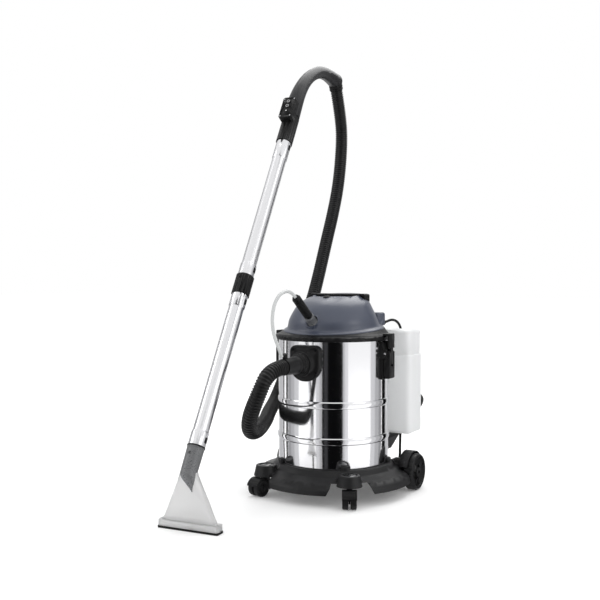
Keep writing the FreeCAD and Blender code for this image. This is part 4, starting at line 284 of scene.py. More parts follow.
def open_foam(base):
    """Open-cell foam: dark pores a millimetre across."""
    made, tree, shader, place = new_material("Open-cell foam", base, 0.9)
    cells = add_node(tree, "ShaderNodeTexVoronoi", {"Scale": 700.0},
                     {"Vector": place.outputs["Object"]})
    bump = add_node(tree, "ShaderNodeBump", {"Strength": 0.7, "Distance": 0.0008},
                    {"Height": cells.outputs["Distance"]})
    tree.links.new(bump.outputs["Normal"], shader.inputs["Normal"])
    return made


MATERIALS = {}


def make_materials():
    """Every finish of the object, by the material slot it dresses."""
    own = bpy.context.scene.extractor_colours
    MATERIALS.update({
        "black_moulding": moulded_black(own.moulding),
        "charcoal_moulding": moulded_grey("Charcoal polypropylene", linear("#1c1c1d"), 0.42,
                                          gloss=0.25),
        "wheel_moulding": moulded_grey("Black ABS wheel", linear("#131314"), 0.38, gloss=0.22),
        "pale_cap": moulded_grey("Glossy dark ABS", linear("#303133"), 0.22, 0.7),
        "wheel_rubber": rubber("Caster tread rubber", linear("#141415"), 0.55),
        "black_screw": plain_metal("Blackened steel", linear("#2b2b2d"), 0.4),
        "bright_steel": plain_metal("Zinc-plated steel", linear("#c9c9cb"), 0.25),
        "polished_steel": polished_steel(own.steel),
        "gasket_rubber": rubber("Black moulded rubber", linear("#0e0e0e"), 0.6),
        "cover_grey": moulded_grey("Blue-grey ABS", own.cover, 0.34, 0.1, 0.45),
        "motor_metal": plain_metal("Painted steel can", linear("#6a6d72"), 0.45),
        "rotor_metal": plain_metal("Cast aluminium", linear("#b4b4b8"), 0.4),
        "inner_moulding": moulded_grey("Natural grey polypropylene", linear("#77787a"), 0.45),
        "float_pale": moulded_grey("Pale polypropylene", linear("#cfcdc4"), 0.5),
        "foam": open_foam(linear("#2a2a2c")),
        "tank_clear": milky_tank_painted_glow(own.tank),
        "hose_black": moulded_grey("Black EVA hose", own.hose, 0.36, gloss=0.32),
        "tube_clear": frosted_clear("Milky soft vinyl", linear("#c9cbcb"), 0.1, 0.3),
        "collar_grey": moulded_grey("Mid grey acetal", linear("#5d5e61"), 0.4),
        "cord_rubber": rubber("Black vinyl cord", linear("#0f0f0f"), 0.45),
        "grip_grey": moulded_grey("Soft-touch grey ABS", own.grip, 0.4, gloss=0.3),
        "button_grey": moulded_grey("Button black ABS", linear("#1a1a1b"), 0.3),
        "satin_tube": satin_tube(own.tube),
        "neck_grey": frosted_clear("Smoky polycarbonate", linear("#7d7e80"), 0.45, 0.3),
        "nozzle_clear": frosted_clear("Frosted clear acrylic", own.nozzle, 0.72, 0.32),
        "jet_brass": plain_metal("Turned brass", linear("#b08d4a"), 0.3),
        "white_mark": moulded_grey("White pad print", linear("#d8d8d8"), 0.5),
    })


# Mesh work

def clear_selection():
    if bpy.context.mode != "OBJECT":
        bpy.ops.object.mode_set(mode="OBJECT")
    bpy.ops.object.select_all(action="DESELECT")


def take(obj):
    """Make one object the selected and active one."""
    clear_selection()
    obj.select_set(True)
    bpy.context.view_layer.objects.active = obj


def added(name, data):
    """A new object in the scene."""
    obj = bpy.data.objects.new(name, data)
    bpy.context.scene.collection.objects.link(obj)
    return obj


@contextmanager
def editing(obj, selection="SELECT"):
    """Edit mode on one object, with all of its mesh selected, or none with DESELECT."""
    take(obj)
    bpy.ops.object.mode_set(mode="EDIT")
    bpy.ops.mesh.select_all(action=selection)
    yield
    bpy.ops.object.mode_set(mode="OBJECT")


def apply_modifier(obj, kind, **settings):
    """Give a mesh a modifier with its settings, and apply it."""
    modifier = obj.modifiers.new(kind.title(), kind)
    for name, value in settings.items():
        setattr(modifier, name, value)
    take(obj)
    bpy.ops.object.modifier_apply(modifier=modifier.name)


def settle(obj):
    """Put an object's place, turn and scale into its mesh."""
    take(obj)
    bpy.ops.object.transform_apply(location=True, rotation=True, scale=True)


def put(obj, place):
    """Move a mesh that was made at the origin to its place."""
    obj.matrix_world = place
    settle(obj)
    return obj


def smooth(obj, angle):
    take(obj)
    bpy.ops.object.shade_smooth_by_angle(angle=math.radians(angle), keep_sharp_edges=True)


def finish_piece(obj, name, body, slot, angle=32):
    """Name, smooth and finish a piece, and hang it on its body."""
    obj.name = name
    if obj.type == "MESH":
        settle(obj)
        smooth(obj, angle)
    obj.data.materials.clear()
    obj.data.materials.append(MATERIALS[slot])
    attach(obj, body)
    return obj


def finish_in_place_of(obj, name, slot, *nodes, angle=32):
    """Finish a piece of the machine's own body that takes the place of CAD nodes."""
    finish_piece(obj, name, "machine", slot, angle)
    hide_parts(*nodes)


def dressed(node, angle=32, slot=None):
    """A merged copy of a CAD node's mesh, smooth over its curved faces, in the node's place."""
    name = node + "_dressed"
    obj = added(name, NODES[node].data.copy())
    with editing(obj):
        bpy.ops.mesh.remove_doubles(threshold=0.000004)
    finish_piece(obj, name, BODY_OF[node], slot or SLOT_OF[node], angle)
    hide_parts(node)
    return obj


def arc(radius, height, out, up, start, end, steps=12):
    """Rings of a round bead on a wall: its reach out and up, and its angles in degrees."""
    angles = [math.radians(start + (end - start) * i / steps) for i in range(steps + 1)]
    return [(radius + out * math.cos(a), height + up * math.sin(a)) for a in angles]


def turned(rings, steps, close=False):
    """A ring drawn out along its axis: each step extrudes the last ring and scales it."""
    clear_selection()
    radius, height = rings[0]
    bpy.ops.mesh.primitive_circle_add(vertices=steps, radius=radius, location=(0, 0, height))
    obj = bpy.context.object
    settle(obj)
    with editing(obj):
        for next_radius, next_height in rings[1:]:
            bpy.ops.mesh.extrude_region_move(
                TRANSFORM_OT_translate={"value": (0, 0, next_height - height)})
            share = next_radius / radius
            bpy.ops.transform.resize(value=(share, share, 1),
                                     center_override=(0, 0, next_height))
            radius, height = next_radius, next_height
        bpy.ops.mesh.select_all(action="SELECT")
        if close:
            bpy.ops.mesh.remove_doubles(threshold=0.00001)
        bpy.ops.mesh.normals_make_consistent(inside=False)
    return obj


def block(size, place, bevel, segments):
    """A box with rounded edges, its centre at its place."""
    clear_selection()
    bpy.ops.mesh.primitive_cube_add(size=1, location=(0, 0, 0))
    obj = bpy.context.object
    obj.scale = size
    settle(obj)
    with editing(obj):
        bpy.ops.mesh.bevel(offset=bevel, segments=segments, affect="EDGES")
    return put(obj, place)


def disc(radius, depth, place, bevel=0.0, steps=48):
    """A short cylinder that stands on its place along the place's Z, its rims rounded."""
    clear_selection()
    bpy.ops.mesh.primitive_cylinder_add(vertices=steps, radius=radius, depth=depth,
                                        location=(0, 0, depth / 2))
    obj = bpy.context.object
    settle(obj)
    if bevel:
        with editing(obj, "DESELECT"):
            mesh = bmesh.from_edit_mesh(obj.data)
            for edge in mesh.edges:
                edge.select = len({round(v.co.z, 6) for v in edge.verts}) == 1
            bmesh.update_edit_mesh(obj.data)
            bpy.ops.mesh.bevel(offset=bevel, segments=3, affect="EDGES")
    return put(obj, place)


def on_wand(side, front, along):
    """A place beside the tubes' line, with Z along the line and Y to the rear."""
    return TUBE_LINE @ Matrix.Translation((side, -front, along))


def joined(pieces):
    """Several meshes as one object."""
    clear_selection()
    for piece in pieces:
        piece.select_set(True)
    bpy.context.view_layer.objects.active = pieces[0]
    bpy.ops.object.join()
    return bpy.context.object


def spline_curve(name, points, radius, around=6, along=8):
    """A round cord along one smooth spline through the route's control points."""
    data = bpy.data.curves.new(name, "CURVE")
    data.dimensions = "3D"
    data.resolution_u = along
    data.bevel_depth = radius
    data.bevel_resolution = around
    data.use_fill_caps = True
    spline = data.splines.new("NURBS")
    spline.points.add(len(points) - 1)
    for point, place in zip(spline.points, points):
        point.co = (*place, 1)
    spline.order_u = 3
    spline.use_endpoint_u = True
    return added(name, data)


def line_of(points):
    """The spline's own line, as points and their distances along it."""
    curve = spline_curve("line", points, 0, along=24)
    bpy.context.view_layer.update()
    mesh = bpy.data.meshes.new_from_object(
        curve.evaluated_get(bpy.context.evaluated_depsgraph_get()))
    line = [v.co.copy() for v in mesh.vertices]
    bpy.data.objects.remove(curve)
    bpy.data.meshes.remove(mesh)
    along = [0.0]
    for a, b in zip(line, line[1:]):
        along.append(along[-1] + (b - a).length)
    return line, along


def point_at(line, along, distance):
    """Place and heading at a distance along a line."""
    high = bisect_right(along, distance, 1, len(along) - 1)
    low = high - 1
    share = (distance - along[low]) / (along[high] - along[low])
    before = line[max(low - 1, 0)]
    after = line[min(high + 1, len(line) - 1)]
    return line[low].lerp(line[high], share), (after - before).normalized()


def ringed_tube(name, line, along, stations, sides):
    """A tube of rings square to a line; the rings' radii follow the stations."""
    mesh = bmesh.new()
    angles = [2 * math.pi * i / sides for i in range(sides)]
    rings = []
    across = None
    for distance, radius in stations:
        place, heading = point_at(line, along, distance)
        if across is None:
            across = heading.orthogonal()
        across = (across - heading * across.dot(heading)).normalized()
        other = heading.cross(across)
        rings.append([mesh.verts.new(place + radius * (across * math.cos(a) + other * math.sin(a)))
                      for a in angles])
    for first, second in zip(rings, rings[1:]):
        for i in range(sides):
            j = (i + 1) % sides
            mesh.faces.new((first[i], first[j], second[j], second[i]))
    data = bpy.data.meshes.new(name)
    mesh.to_mesh(data)
    mesh.free()
    return added(name, data)


# Routes: the same points as the part's own, in millimetres

HOSE_ROUTE = [(0, -259.3, 345), (0, -321, 345), (-18.2, -343, 284.3), (-43.7, -339.3, 231.6),
              (-61.2, -312.5, 192.9), (-76.9, -252.3, 183.2), (-109.7, -161.5, 195.4),
              (-148, -86, 203.7), (-177.2, -4.1, 222), (-182, 60, 290), (-200, 135, 365),
              (-194, 185, 445), (-178.5, 199.5, 484.2), (-181.4, 241.7, 550.5),
              (-183.1, 298.4, 664.8), (-181.7, 345.4, 765.4), (-179.7, 378.9, 864.3),
              (-179.1, 397.8, 997.7), (-174.4, 373.27, 1073.21), (-171.85, 344.1, 1136.46)]
SOLUTION_ROUTE = [(0, -192.1, 505.6), (0, -213.6, 521.8), (0, -241, 527.8), (0, -270, 522),
                  (0, -294, 504), (0, -306.5, 477), (0, -307.5, 448), (0, -297.5, 420),
                  (0, -279.2, 394.6), (0, -265.59, 371.02)]
CORD_ROUTE = [(85, 106, 437), (85, 146, 437), (88, 172, 443), (91, 200, 440), (92, 226, 427),
              (90, 246, 403), (87, 254, 370), (85, 257, 312), (83, 256, 215), (82, 258, 125),
              (81, 257, 75), (81, 257, 36.6), (69, 257, 15.8), (48.2, 257, 3.8),
              (24, 257.5, 3.8), (1.7, 270.5, 3.8), (-11.3, 293, 3.8)]
CORD_REST = 3.8
COIL_CENTRE = (-76.0, 315.0)
COIL_TURNS = 4
COIL_LAYERS = 4
COIL_PITCH = 9.2
COIL_MIDDLE = 44.0
COIL_TAIL = 88.0
PLUG_REST = 10.6
HALF_TURN_POINTS = 8

# One rib of the hose: shares of the pitch, and of the depth between root and outside
RIB = ((0.0, 0.0), (0.3, 0.0), (0.42, 0.7), (0.54, 1.0), (0.76, 1.0), (0.9, 0.7))
HOSE_WALL = 0.0008
HOSE_SIDES = 26

# The strap round the coil: its width, its room round the turns, and its wall
TIE_WIDE = 0.016
TIE_ROOM_DEEP = 0.0105
TIE_ROOM_HIGH = 0.0005
TIE_WALL = 0.0012
TIE_LIFT = 0.0006
TIE_EDGE = 0.0035

# The camera: its turns are in degrees, its lens and the sensor's width in millimetres
CAMERA_PLACE = (1.0481, -1.993 + AXIS_BACK, 0.561)
CAMERA_DOWN = 1.55
CAMERA_RIGHT = 30
CAMERA_LENS = 51.0
CAMERA_SENSOR = 36.0


def coil_route():
    """The coil's turns: points round each half turn, layer on layer, then the tail."""
    core = COIL_MIDDLE - COIL_TURNS * COIL_PITCH / 2
    halves = 2 * COIL_TURNS
    steps = [(COIL_TURNS + 0.25 - k / 2, 0) for k in range(halves + 1)]
    for layer in range(1, COIL_LAYERS):
        for k in range(halves):
            step = 0.25 + k / 2 if layer % 2 else COIL_TURNS - 0.25 - k / 2
            steps.append((step, layer))
    places = []
    for k, (step, layer) in enumerate(steps):
        way = 1 if k % 2 == 0 else -1
        places.append(Vector((COIL_CENTRE[0] + way * (core + step * COIL_PITCH), COIL_CENTRE[1],
                              CORD_REST + layer * COIL_PITCH)))
    places.append(Vector((COIL_CENTRE[0] - COIL_TAIL, COIL_CENTRE[1], PLUG_REST)))
    out = 1 / math.cos(math.pi / 2 / HALF_TURN_POINTS)
    points = []
    for k in range(len(places) - 1):
        first, last = places[k], places[k + 1]
        centre = (first + last) / 2
        reach = (last - first).length / 2
        way = 1 if k % 2 == 0 else -1
        for i in range(HALF_TURN_POINTS):
            angle = math.pi * (i + 0.5) / HALF_TURN_POINTS
            points.append(centre + ((first - centre) * math.cos(angle)
                                    + Vector((0, way * reach, 0)) * math.sin(angle)) * out)
    points.append(places[-1])
    return [tuple(p) for p in points]


class EXTRACTOR_OT_camera(bpy.types.Operator):
    """Camera at the photograph's viewing angle"""
    bl_idname = "extractor.camera"
    bl_label = "Camera"

    def execute(self, context):
        data = bpy.data.cameras.new("Camera")
        data.lens = CAMERA_LENS
        data.sensor_width = CAMERA_SENSOR
        camera = added("Camera", data)
        camera.location = CAMERA_PLACE
        camera.rotation_euler = (math.radians(90 - CAMERA_DOWN), 0, math.radians(CAMERA_RIGHT))
        context.scene.camera = camera
        return {"FINISHED"}


class EXTRACTOR_OT_hose(bpy.types.Operator):
    """Ribbed suction hose from the inlet's cuff to the handle"""
    bl_idname = "extractor.hose"
    bl_label = "Suction hose"

    def execute(self, context):
        own = context.scene.extractor_sizes
        points = millimetres(HOSE_ROUTE)
        line, along = line_of(points)
        pitch = along[-1] / own.hose_ribs
        deep = own.hose_radius - own.hose_root
        stations = [(pitch * (i + share), own.hose_root + deep * lift)
                    for i in range(own.hose_ribs) for share, lift in RIB]
        stations.append((along[-1], own.hose_root))
        hose = ringed_tube("suction_hose_ribbed", line, along, stations, HOSE_SIDES)
        with editing(hose):
            bpy.ops.mesh.normals_make_consistent(inside=False)
        apply_modifier(hose, "SOLIDIFY", thickness=HOSE_WALL, offset=-1)
        finish_in_place_of(hose, "suction_hose_ribbed", "hose_black", "suction_hose", angle=50)
        return {"FINISHED"}


class EXTRACTOR_OT_cords(bpy.types.Operator):
    """Solution tube, and the mains cord with its put-away coil, tie and plug"""
    bl_idname = "extractor.cords"
    bl_label = "Tube and cord"

    def execute(self, context):
        own = context.scene.extractor_sizes
        route = millimetres(SOLUTION_ROUTE)
        length = line_of(route)[1][-1]
        tube = spline_curve("solution_tube_soft", route, own.tube_radius)
        finish_in_place_of(tube, "solution_tube_soft", "tube_clear", "solution_tube")
        route = millimetres(CORD_ROUTE + coil_route())
        length = line_of(route)[1][-1]
        cord = spline_curve("mains_cord", route, own.cord_radius, around=4, along=5)
        finish_in_place_of(cord, "mains_cord", "cord_rubber", "power_cord", "cord_coil")
        plug = dressed("power_plug")
        tie = self.tie()
        return {"FINISHED"}

    def tie(self):
        """A hook-and-loop strap round one side of the coil."""
        deep = COIL_TURNS * COIL_PITCH / 1000
        high = COIL_LAYERS * COIL_PITCH / 1000
        middle = millimetres([(*COIL_CENTRE, 0)])[0]
        place = middle + Vector((0, -COIL_MIDDLE / 1000, high / 2 + TIE_LIFT))
        size = (TIE_WIDE, deep + TIE_ROOM_DEEP, high + TIE_ROOM_HIGH)
        band = block(size, Matrix.Translation(place), TIE_EDGE, 4)
        with editing(band, "DESELECT"):
            mesh = bmesh.from_edit_mesh(band.data)
            for face in mesh.faces:
                face.select = abs(face.normal.x) > 0.9
            bmesh.update_edit_mesh(band.data)
            bpy.ops.mesh.delete(type="FACE")
        apply_modifier(band, "SOLIDIFY", thickness=TIE_WALL, offset=-1)
        return finish_piece(band, "coil_tie", "machine", "gasket_rubber")


class EXTRACTOR_OT_drum(bpy.types.Operator):
    """Mirror-polished drum with its beads and rolled rim"""
    bl_idname = "extractor.drum"
    bl_label = "Drum"

    def execute(self, context):
        inside = DRUM_RADIUS - DRUM_SHEET
        rings = [(AXIS_RING, DRUM_LOW), (DRUM_RADIUS - FLOOR_EDGE, DRUM_LOW),
                 (DRUM_RADIUS - 0.0016, DRUM_LOW + 0.0014), (DRUM_RADIUS, DRUM_LOW + FLOOR_EDGE)]
        for height in BEAD_HEIGHTS:
            rings += arc(DRUM_RADIUS, height, BEAD_OUT, BEAD_HALF, -90, 90)
        rings.append((DRUM_RADIUS, DRUM_TOP - 0.005))
        rings += arc(DRUM_RADIUS, DRUM_TOP - 0.002, RIM_ROLL, RIM_ROLL, -60, 240)
        rings += [(inside, DRUM_TOP - 0.006), (inside, DRUM_LOW + FLOOR_EDGE),
                  (DRUM_RADIUS - 0.0065, DRUM_LOW + FLOOR_SHEET),
                  (AXIS_RING, DRUM_LOW + FLOOR_SHEET)]
        drum = put(turned(rings, 256), Matrix.Translation((0, AXIS_BACK, 0)))
        self.cut_inlet(drum)
        finish_in_place_of(drum, "steel_drum_polished", "polished_steel", "steel_drum", angle=28)
        return {"FINISHED"}

    def cut_inlet(self, drum):
        """Open the drum's front where the inlet passes."""
        back = Vector((0, AXIS_BACK - DRUM_RADIUS + INLET_CUT / 2, INLET_HIGH))
        tool = disc(INLET_RADIUS, INLET_CUT, Matrix.Translation(back) @ FACE_FRONT)
        apply_modifier(drum, "BOOLEAN", object=tool, solver="EXACT")
        bpy.data.objects.remove(tool)


class EXTRACTOR_OT_trolley(bpy.types.Operator):
    """Trolley, caps, casters and rear wheels"""
    bl_idname = "extractor.trolley"
    bl_label = "Trolley"

    def execute(self, context):
        dressed("base_trolley", slot="charcoal_moulding")
        for node in ("pod_caps", "caster_fork_left", "caster_fork_right",
                     "caster_wheel_left", "caster_wheel_right", "rear_axle",
                     "rear_wheel_left", "rear_wheel_right"):
            dressed(node)
        return {"FINISHED"}


class EXTRACTOR_OT_inlet(bpy.types.Operator):
    """Hose inlet, cuff, screws and both latches"""
    bl_idname = "extractor.inlet"
    bl_label = "Inlet and latches"

    def execute(self, context):
        dressed("cross_screws", slot="black_screw")
        for node in ("inlet_flange", "hose_cuff", "latch_brackets",
                     "latch_pins", "latch_lever_left", "latch_lever_right",
                     "latch_hook_left", "latch_hook_right"):
            dressed(node)
        return {"FINISHED"}


class EXTRACTOR_OT_head(bpy.types.Operator):
    """Lid ring, motor cover, handle and what is under them"""
    bl_idname = "extractor.head"
    bl_label = "Suction head"

    def execute(self, context):
        dressed("motor_cover", 20)
        for node in ("lid_ring", "lid_gasket", "carry_handle", "power_switch",
                     "cord_gland", "motor", "turbine_rotor", "pump", "float_cage",
                     "float_ball", "foam_filter", "spray_plug", "plug_collar"):
            dressed(node)
        return {"FINISHED"}


class EXTRACTOR_OT_tank(bpy.types.Operator):
    """Solution tank with its cap, bracket and feed tube"""
    bl_idname = "extractor.tank"
    bl_label = "Solution tank"

    def execute(self, context):
        for node in ("solution_tank", "tank_cap", "tank_bracket", "feed_tube"):
            dressed(node)
        return {"FINISHED"}


# The control box's marks: heights over its foot, and how far they stand before the tubes' line
BOX_FOOT = 0.925
BUTTON_HEIGHTS = {"spray_button": 0.055, "stop_button": 0.039}
BUTTON_FRONT = 0.0382
PRINT_RADIUS = 0.0038
PRINT_HALF_WIDE = 0.00045
LAMP_HEIGHT = 0.023
LAMP_FRONT = 0.0362
LAMP_RADIUS = 0.0019
LAMP_DEEP = 0.001
SLIT_HEIGHT = 0.047
SLIT_SIDE = -0.0118
SLIT_FRONT = 0.0361
SLIT_SIZE = (0.0016, 0.0004, 0.011)
SCREW_HEIGHTS = (0.006, 0.065)
SCREW_SIDE = 0.0145
SCREW_FRONT = 0.0357
SCREW_RADIUS = 0.002
SCREW_DEEP = 0.0004
FINE_EDGE = 0.0001


class EXTRACTOR_OT_wand(bpy.types.Operator):
    """Wand tubes, sleeves, grip and control box"""
    bl_idname = "extractor.wand"
    bl_label = "Wand"

    def execute(self, context):
        for node in ("upper_tube", "lower_tube", "middle_sleeve", "handle_sleeve",
                     "snap_button_top", "snap_button_middle", "snap_button_bottom",
                     "handle_grip_upper", "handle_grip_lower", "handle_cuff",
                     "control_box", "spray_button", "stop_button"):
            dressed(node)
        self.box_marks()
        return {"FINISHED"}

    def box_marks(self):
        """Ring prints on the buttons, the lamp's lens, a black block as a slit's painted shade, and
        screws at the corners.
        """
        for button, height in BUTTON_HEIGHTS.items():
            clear_selection()
            bpy.ops.mesh.primitive_torus_add(major_segments=40, minor_segments=6,
                                             major_radius=PRINT_RADIUS,
                                             minor_radius=PRINT_HALF_WIDE, location=(0, 0, 0))
            place = on_wand(0, BUTTON_FRONT, BOX_FOOT + height) @ FACE_FRONT
            ring = put(bpy.context.object, place)
            finish_piece(ring, button + "_mark", BODY_OF[button], "white_mark")
        place = on_wand(0, LAMP_FRONT, BOX_FOOT + LAMP_HEIGHT) @ FACE_FRONT
        lens = disc(LAMP_RADIUS, LAMP_DEEP, place, 0.0003, 24)
        finish_piece(lens, "box_lamp", BODY_OF["control_box"], "white_mark")
        # The slit is a thin black block on the box's face: painted shade where the slit's gap would be
        # dark.
        place = on_wand(SLIT_SIDE, SLIT_FRONT, BOX_FOOT + SLIT_HEIGHT)
        slit = block(SLIT_SIZE, place, FINE_EDGE, 1)
        finish_piece(slit, "box_slit_painted_shade", BODY_OF["control_box"], "gasket_rubber")
        places = [on_wand(side, SCREW_FRONT, BOX_FOOT + height) @ FACE_FRONT
                  for side in (-SCREW_SIDE, SCREW_SIDE) for height in SCREW_HEIGHTS]
        heads = joined([disc(SCREW_RADIUS, SCREW_DEEP, place, FINE_EDGE, 20)
                        for place in places])
        finish_piece(heads, "box_screw_heads", BODY_OF["control_box"], "bright_steel")


# The seal at the neck's top, along the tubes' line
SEAL_FOOT = -0.0034
SEAL_HIGH = 0.003
SEAL_OUTER = 0.0212
SEAL_INNER = 0.0203
SEAL_EDGE = 0.0004

# The nozzle's shoulder in the nozzle's frame: its foot, and what it gains with its height
SHOULDER_LOW = 0.0908
SHOULDER_RISE = 0.0392
SHOULDER_BACK = 0.0037
SHOULDER_HALF_X = 0.0357
SHOULDER_HALF_Y = 0.0164
BACK_GAIN = -0.064
HALF_X_GAIN = -0.43
HALF_Y_GAIN = 0.143
BULGE = 0.11

# The tongue on the shoulder: its middle, point and spread are in degrees round the shoulder
TONGUE_TURN = -65
TONGUE_POINT = 1.5
TONGUE_SPREAD = 58
TONGUE_GAP = 0.0006
TONGUE_WALL = 0.0008


class EXTRACTOR_OT_nozzle(bpy.types.Operator):
    """Clear nozzle with its neck, lip, squeegee and jet"""
    bl_idname = "extractor.nozzle"
    bl_label = "Nozzle"

    def execute(self, context):
        for node in ("nozzle_neck", "nozzle_body", "nozzle_lip", "squeegee", "spray_jet"):
            dressed(node)
        self.seal()
        self.tongue()
        return {"FINISHED"}

    def seal(self):
        """Black seal between the lower tube and the neck."""
        shoulder = SEAL_OUTER - SEAL_EDGE
        ring = turned([(shoulder, 0), (SEAL_OUTER, SEAL_EDGE), (SEAL_OUTER, SEAL_HIGH - SEAL_EDGE),
                       (shoulder, SEAL_HIGH), (SEAL_INNER, SEAL_HIGH), (SEAL_INNER, 0),
                       (shoulder, 0)], 64, close=True)
        put(ring, on_wand(0, 0, SEAL_FOOT))
        finish_piece(ring, "neck_seal", BODY_OF["nozzle_neck"], "gasket_rubber")

    def tongue(self):
        """The neck's grey tongue that runs to a point down the nozzle's shoulder."""
        clear_selection()
        bpy.ops.mesh.primitive_grid_add(x_subdivisions=16, y_subdivisions=16, size=2)
        sheet = bpy.context.object
        for vertex in sheet.data.vertices:
            vertex.co = self.on_shoulder(vertex.co.x, (vertex.co.y + 1) / 2)
        apply_modifier(sheet, "SOLIDIFY", thickness=TONGUE_WALL, offset=-1)
        put(sheet, NOZZLE_FRAME)
        finish_piece(sheet, "neck_tongue", BODY_OF["nozzle_neck"], "neck_grey")

    def on_shoulder(self, side, share):
        """A place just off the nozzle's shoulder: side from -1 to 1, share of the way up."""
        lift = SHOULDER_RISE * share
        half_x = SHOULDER_HALF_X + HALF_X_GAIN * lift + TONGUE_GAP
        half_y = SHOULDER_HALF_Y + HALF_Y_GAIN * lift + TONGUE_GAP
        back = SHOULDER_BACK + BACK_GAIN * lift
        angle = math.radians(TONGUE_TURN + side * (TONGUE_POINT + TONGUE_SPREAD * share ** 1.6))
        bulge = 1 + BULGE * (1 - share) ** 0.7 * abs(math.sin(2 * angle))
        return Vector((half_x * bulge * math.cos(angle), back + half_y * bulge * math.sin(angle),
                       SHOULDER_LOW + lift))


# Dark and grey drapes that the drum mirrors: from, to, as shares of its half width; colour
DRAPES = [(-0.99, -0.912, "#c4c4c6"), (-0.907, -0.883, "#0c0c0c"), (-0.852, -0.819, "#101010"),
          (-0.815, -0.76, "#a2a2a4"), (-0.76, -0.7, "#bcbcbe"), (-0.7, -0.62, "#d8d8da"),
          (-0.377, -0.352, "#3a3a3c"), (-0.31, -0.25, "#dadadc"), (-0.25, -0.207, "#bababc"),
          (-0.205, -0.166, "#0e0e0f"), (-0.166, -0.102, "#3c3c3e"), (-0.102, 0.166, "#0a0a0b"),
          (0.166, 0.2, "#c8c8ca"), (0.2, 0.26, "#e6e6e8"), (0.66, 0.74, "#dadadc"),
          (0.74, 0.81, "#bababc"), (0.81, 0.857, "#98989a"), (0.867, 0.929, "#0c0c0c"),
          (0.93, 0.99, "#c8c8ca")]

# Where a drape's strip of floor starts and ends, from the drum's skin, and its wall's height
DRAPE_NEAR = 0.1
DRAPE_FAR = 3.2
DRAPE_HIGH = 2.6
DRAPE_LIFT = 0.0005

FLOOR_HALF = 20
FLOOR_GLOW = 0.12

# Soft lights: name, place, width, power in watts, and the point that each one faces
LIGHTS = (("Overhead", (-0.2, 1.6, 2.7), 2.2, 40, (0, 0, 0.2)),
          ("Left window", (-2.6, -1.6, 2.1), 1.4, 14, (0, 0, 0.4)),
          ("Right window", (2.8, -0.2, 1.7), 1.2, 8, (0, 0, 0.4)))


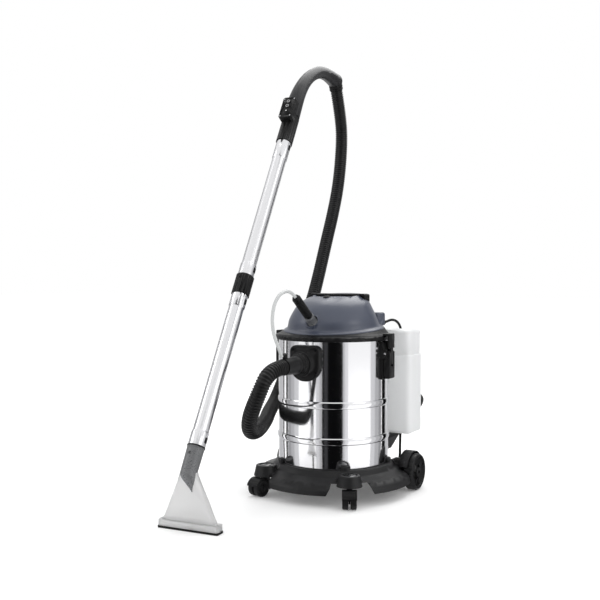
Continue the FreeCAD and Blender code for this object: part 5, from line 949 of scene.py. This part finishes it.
class EXTRACTOR_OT_studio(bpy.types.Operator):
    """White floor, soft lights and the drapes that the polished drum mirrors"""
    bl_idname = "extractor.studio"
    bl_label = "Studio"

    def execute(self, context):
        context.scene.view_settings.view_transform = "Standard"
        self.floor()
        self.drapes(context.scene.camera.location)
        self.lights()
        world = bpy.data.worlds.new("Studio")
        context.scene.world = world
        world.use_nodes = True
        background = world.node_tree.nodes["Background"]
        background.inputs["Color"].default_value = (1, 1, 1, 1)
        background.inputs["Strength"].default_value = 1.0
        return {"FINISHED"}

    def floor(self):
        """A white floor that is as bright as what is behind it, but for soft shadows."""
        corners = [(x * FLOOR_HALF, y * FLOOR_HALF, 0) for y in (-1, 1) for x in (-1, 1)]
        sheet = self.sheet("studio_floor", corners, "Matt white paper", linear("#f4f4f4"),
                           (1, 1, 1), FLOOR_GLOW)

    def drapes(self, eye):
        """Each drape is a strip of floor and a wall, out of view, seen only in glossy surfaces."""
        toward = math.atan2(eye.y - AXIS_BACK, eye.x)
        up = Vector((0, 0, DRAPE_HIGH))
        for index, (start, end, code) in enumerate(DRAPES):
            feet = []
            for share in (start, end):
                turn = math.asin(share)
                skin = Vector((0, AXIS_BACK, DRAPE_LIFT)) + DRUM_RADIUS * Vector(
                    (math.cos(toward + turn), math.sin(toward + turn), 0))
                way = Vector((math.cos(toward + 2 * turn), math.sin(toward + 2 * turn), 0))
                feet.append((skin + DRAPE_NEAR * way, skin + DRAPE_FAR * way))
            (near_a, far_a), (near_b, far_b) = feet
            self.drape("drape_floor_%d" % index, (near_a, near_b, far_a, far_b), code)
            self.drape("drape_wall_%d" % index, (far_a, far_b, far_a + up, far_b + up), code)

    def drape(self, name, corners, code):
        """A glowing sheet that only glossy surfaces see."""
        sheet = self.sheet(name, corners, "Drape " + name, (0, 0, 0), linear(code), 1.0)
        for ray in ("camera", "diffuse", "transmission", "volume_scatter", "shadow"):
            setattr(sheet, "visible_" + ray, False)

    def sheet(self, name, corners, finish, base, glow, strength):
        """A matt sheet of the stage through four corners, with a glow of its own."""
        clear_selection()
        bpy.ops.mesh.primitive_plane_add(size=1, location=(0, 0, 0))
        sheet = bpy.context.object
        sheet.name = name
        for vertex, corner in zip(sheet.data.vertices, corners):
            vertex.co = corner
        material, tree, shader, place = new_material(finish, base, 0.9, Specular_IOR_Level=0.0,
                                                     Emission_Strength=strength)
        shader.inputs["Emission Color"].default_value = (*glow, 1)
        sheet.data.materials.append(material)
        return sheet

    def lights(self):
        for name, place, width, power, aim in LIGHTS:
            data = bpy.data.lights.new(name, "AREA")
            data.shape = "SQUARE"
            data.size = width
            data.energy = power
            lamp = added(name, data)
            lamp.location = place
            lamp.rotation_euler = (Vector(aim) - Vector(place)).to_track_quat("-Z", "Y").to_euler()


OPERATORS = (EXTRACTOR_OT_camera, EXTRACTOR_OT_hose, EXTRACTOR_OT_cords, EXTRACTOR_OT_drum,
             EXTRACTOR_OT_trolley, EXTRACTOR_OT_inlet, EXTRACTOR_OT_head, EXTRACTOR_OT_tank,
             EXTRACTOR_OT_wand, EXTRACTOR_OT_nozzle, EXTRACTOR_OT_studio)


class EXTRACTOR_PT_panel(bpy.types.Panel):
    """Lists the extractor's pieces in the sidebar"""
    bl_idname = "EXTRACTOR_PT_panel"
    bl_label = "Spot Extractor"
    bl_space_type = "VIEW_3D"
    bl_region_type = "UI"
    bl_category = "Extractor"

    def draw(self, context):
        for group in (context.scene.extractor_colours, context.scene.extractor_sizes):
            for name in group.bl_rna.properties.keys():
                if name not in ("rna_type", "name"):
                    self.layout.prop(group, name)
        for operator in OPERATORS:
            self.layout.operator(operator.bl_idname)


CLASSES = (ExtractorColours, ExtractorSizes, *OPERATORS, EXTRACTOR_PT_panel)


def register():
    for kind in CLASSES:
        bpy.utils.register_class(kind)
    bpy.types.Scene.extractor_colours = PointerProperty(type=ExtractorColours)
    bpy.types.Scene.extractor_sizes = PointerProperty(type=ExtractorSizes)


def unregister():
    del bpy.types.Scene.extractor_sizes
    del bpy.types.Scene.extractor_colours
    for kind in reversed(CLASSES):
        bpy.utils.unregister_class(kind)


def main():
    register()
    clear_selection()
    make_materials()
    for operator in OPERATORS:
        group, name = operator.bl_idname.split(".")
        getattr(getattr(bpy.ops, group), name)()
    clear_selection()


if __name__ == "__main__":
    main()
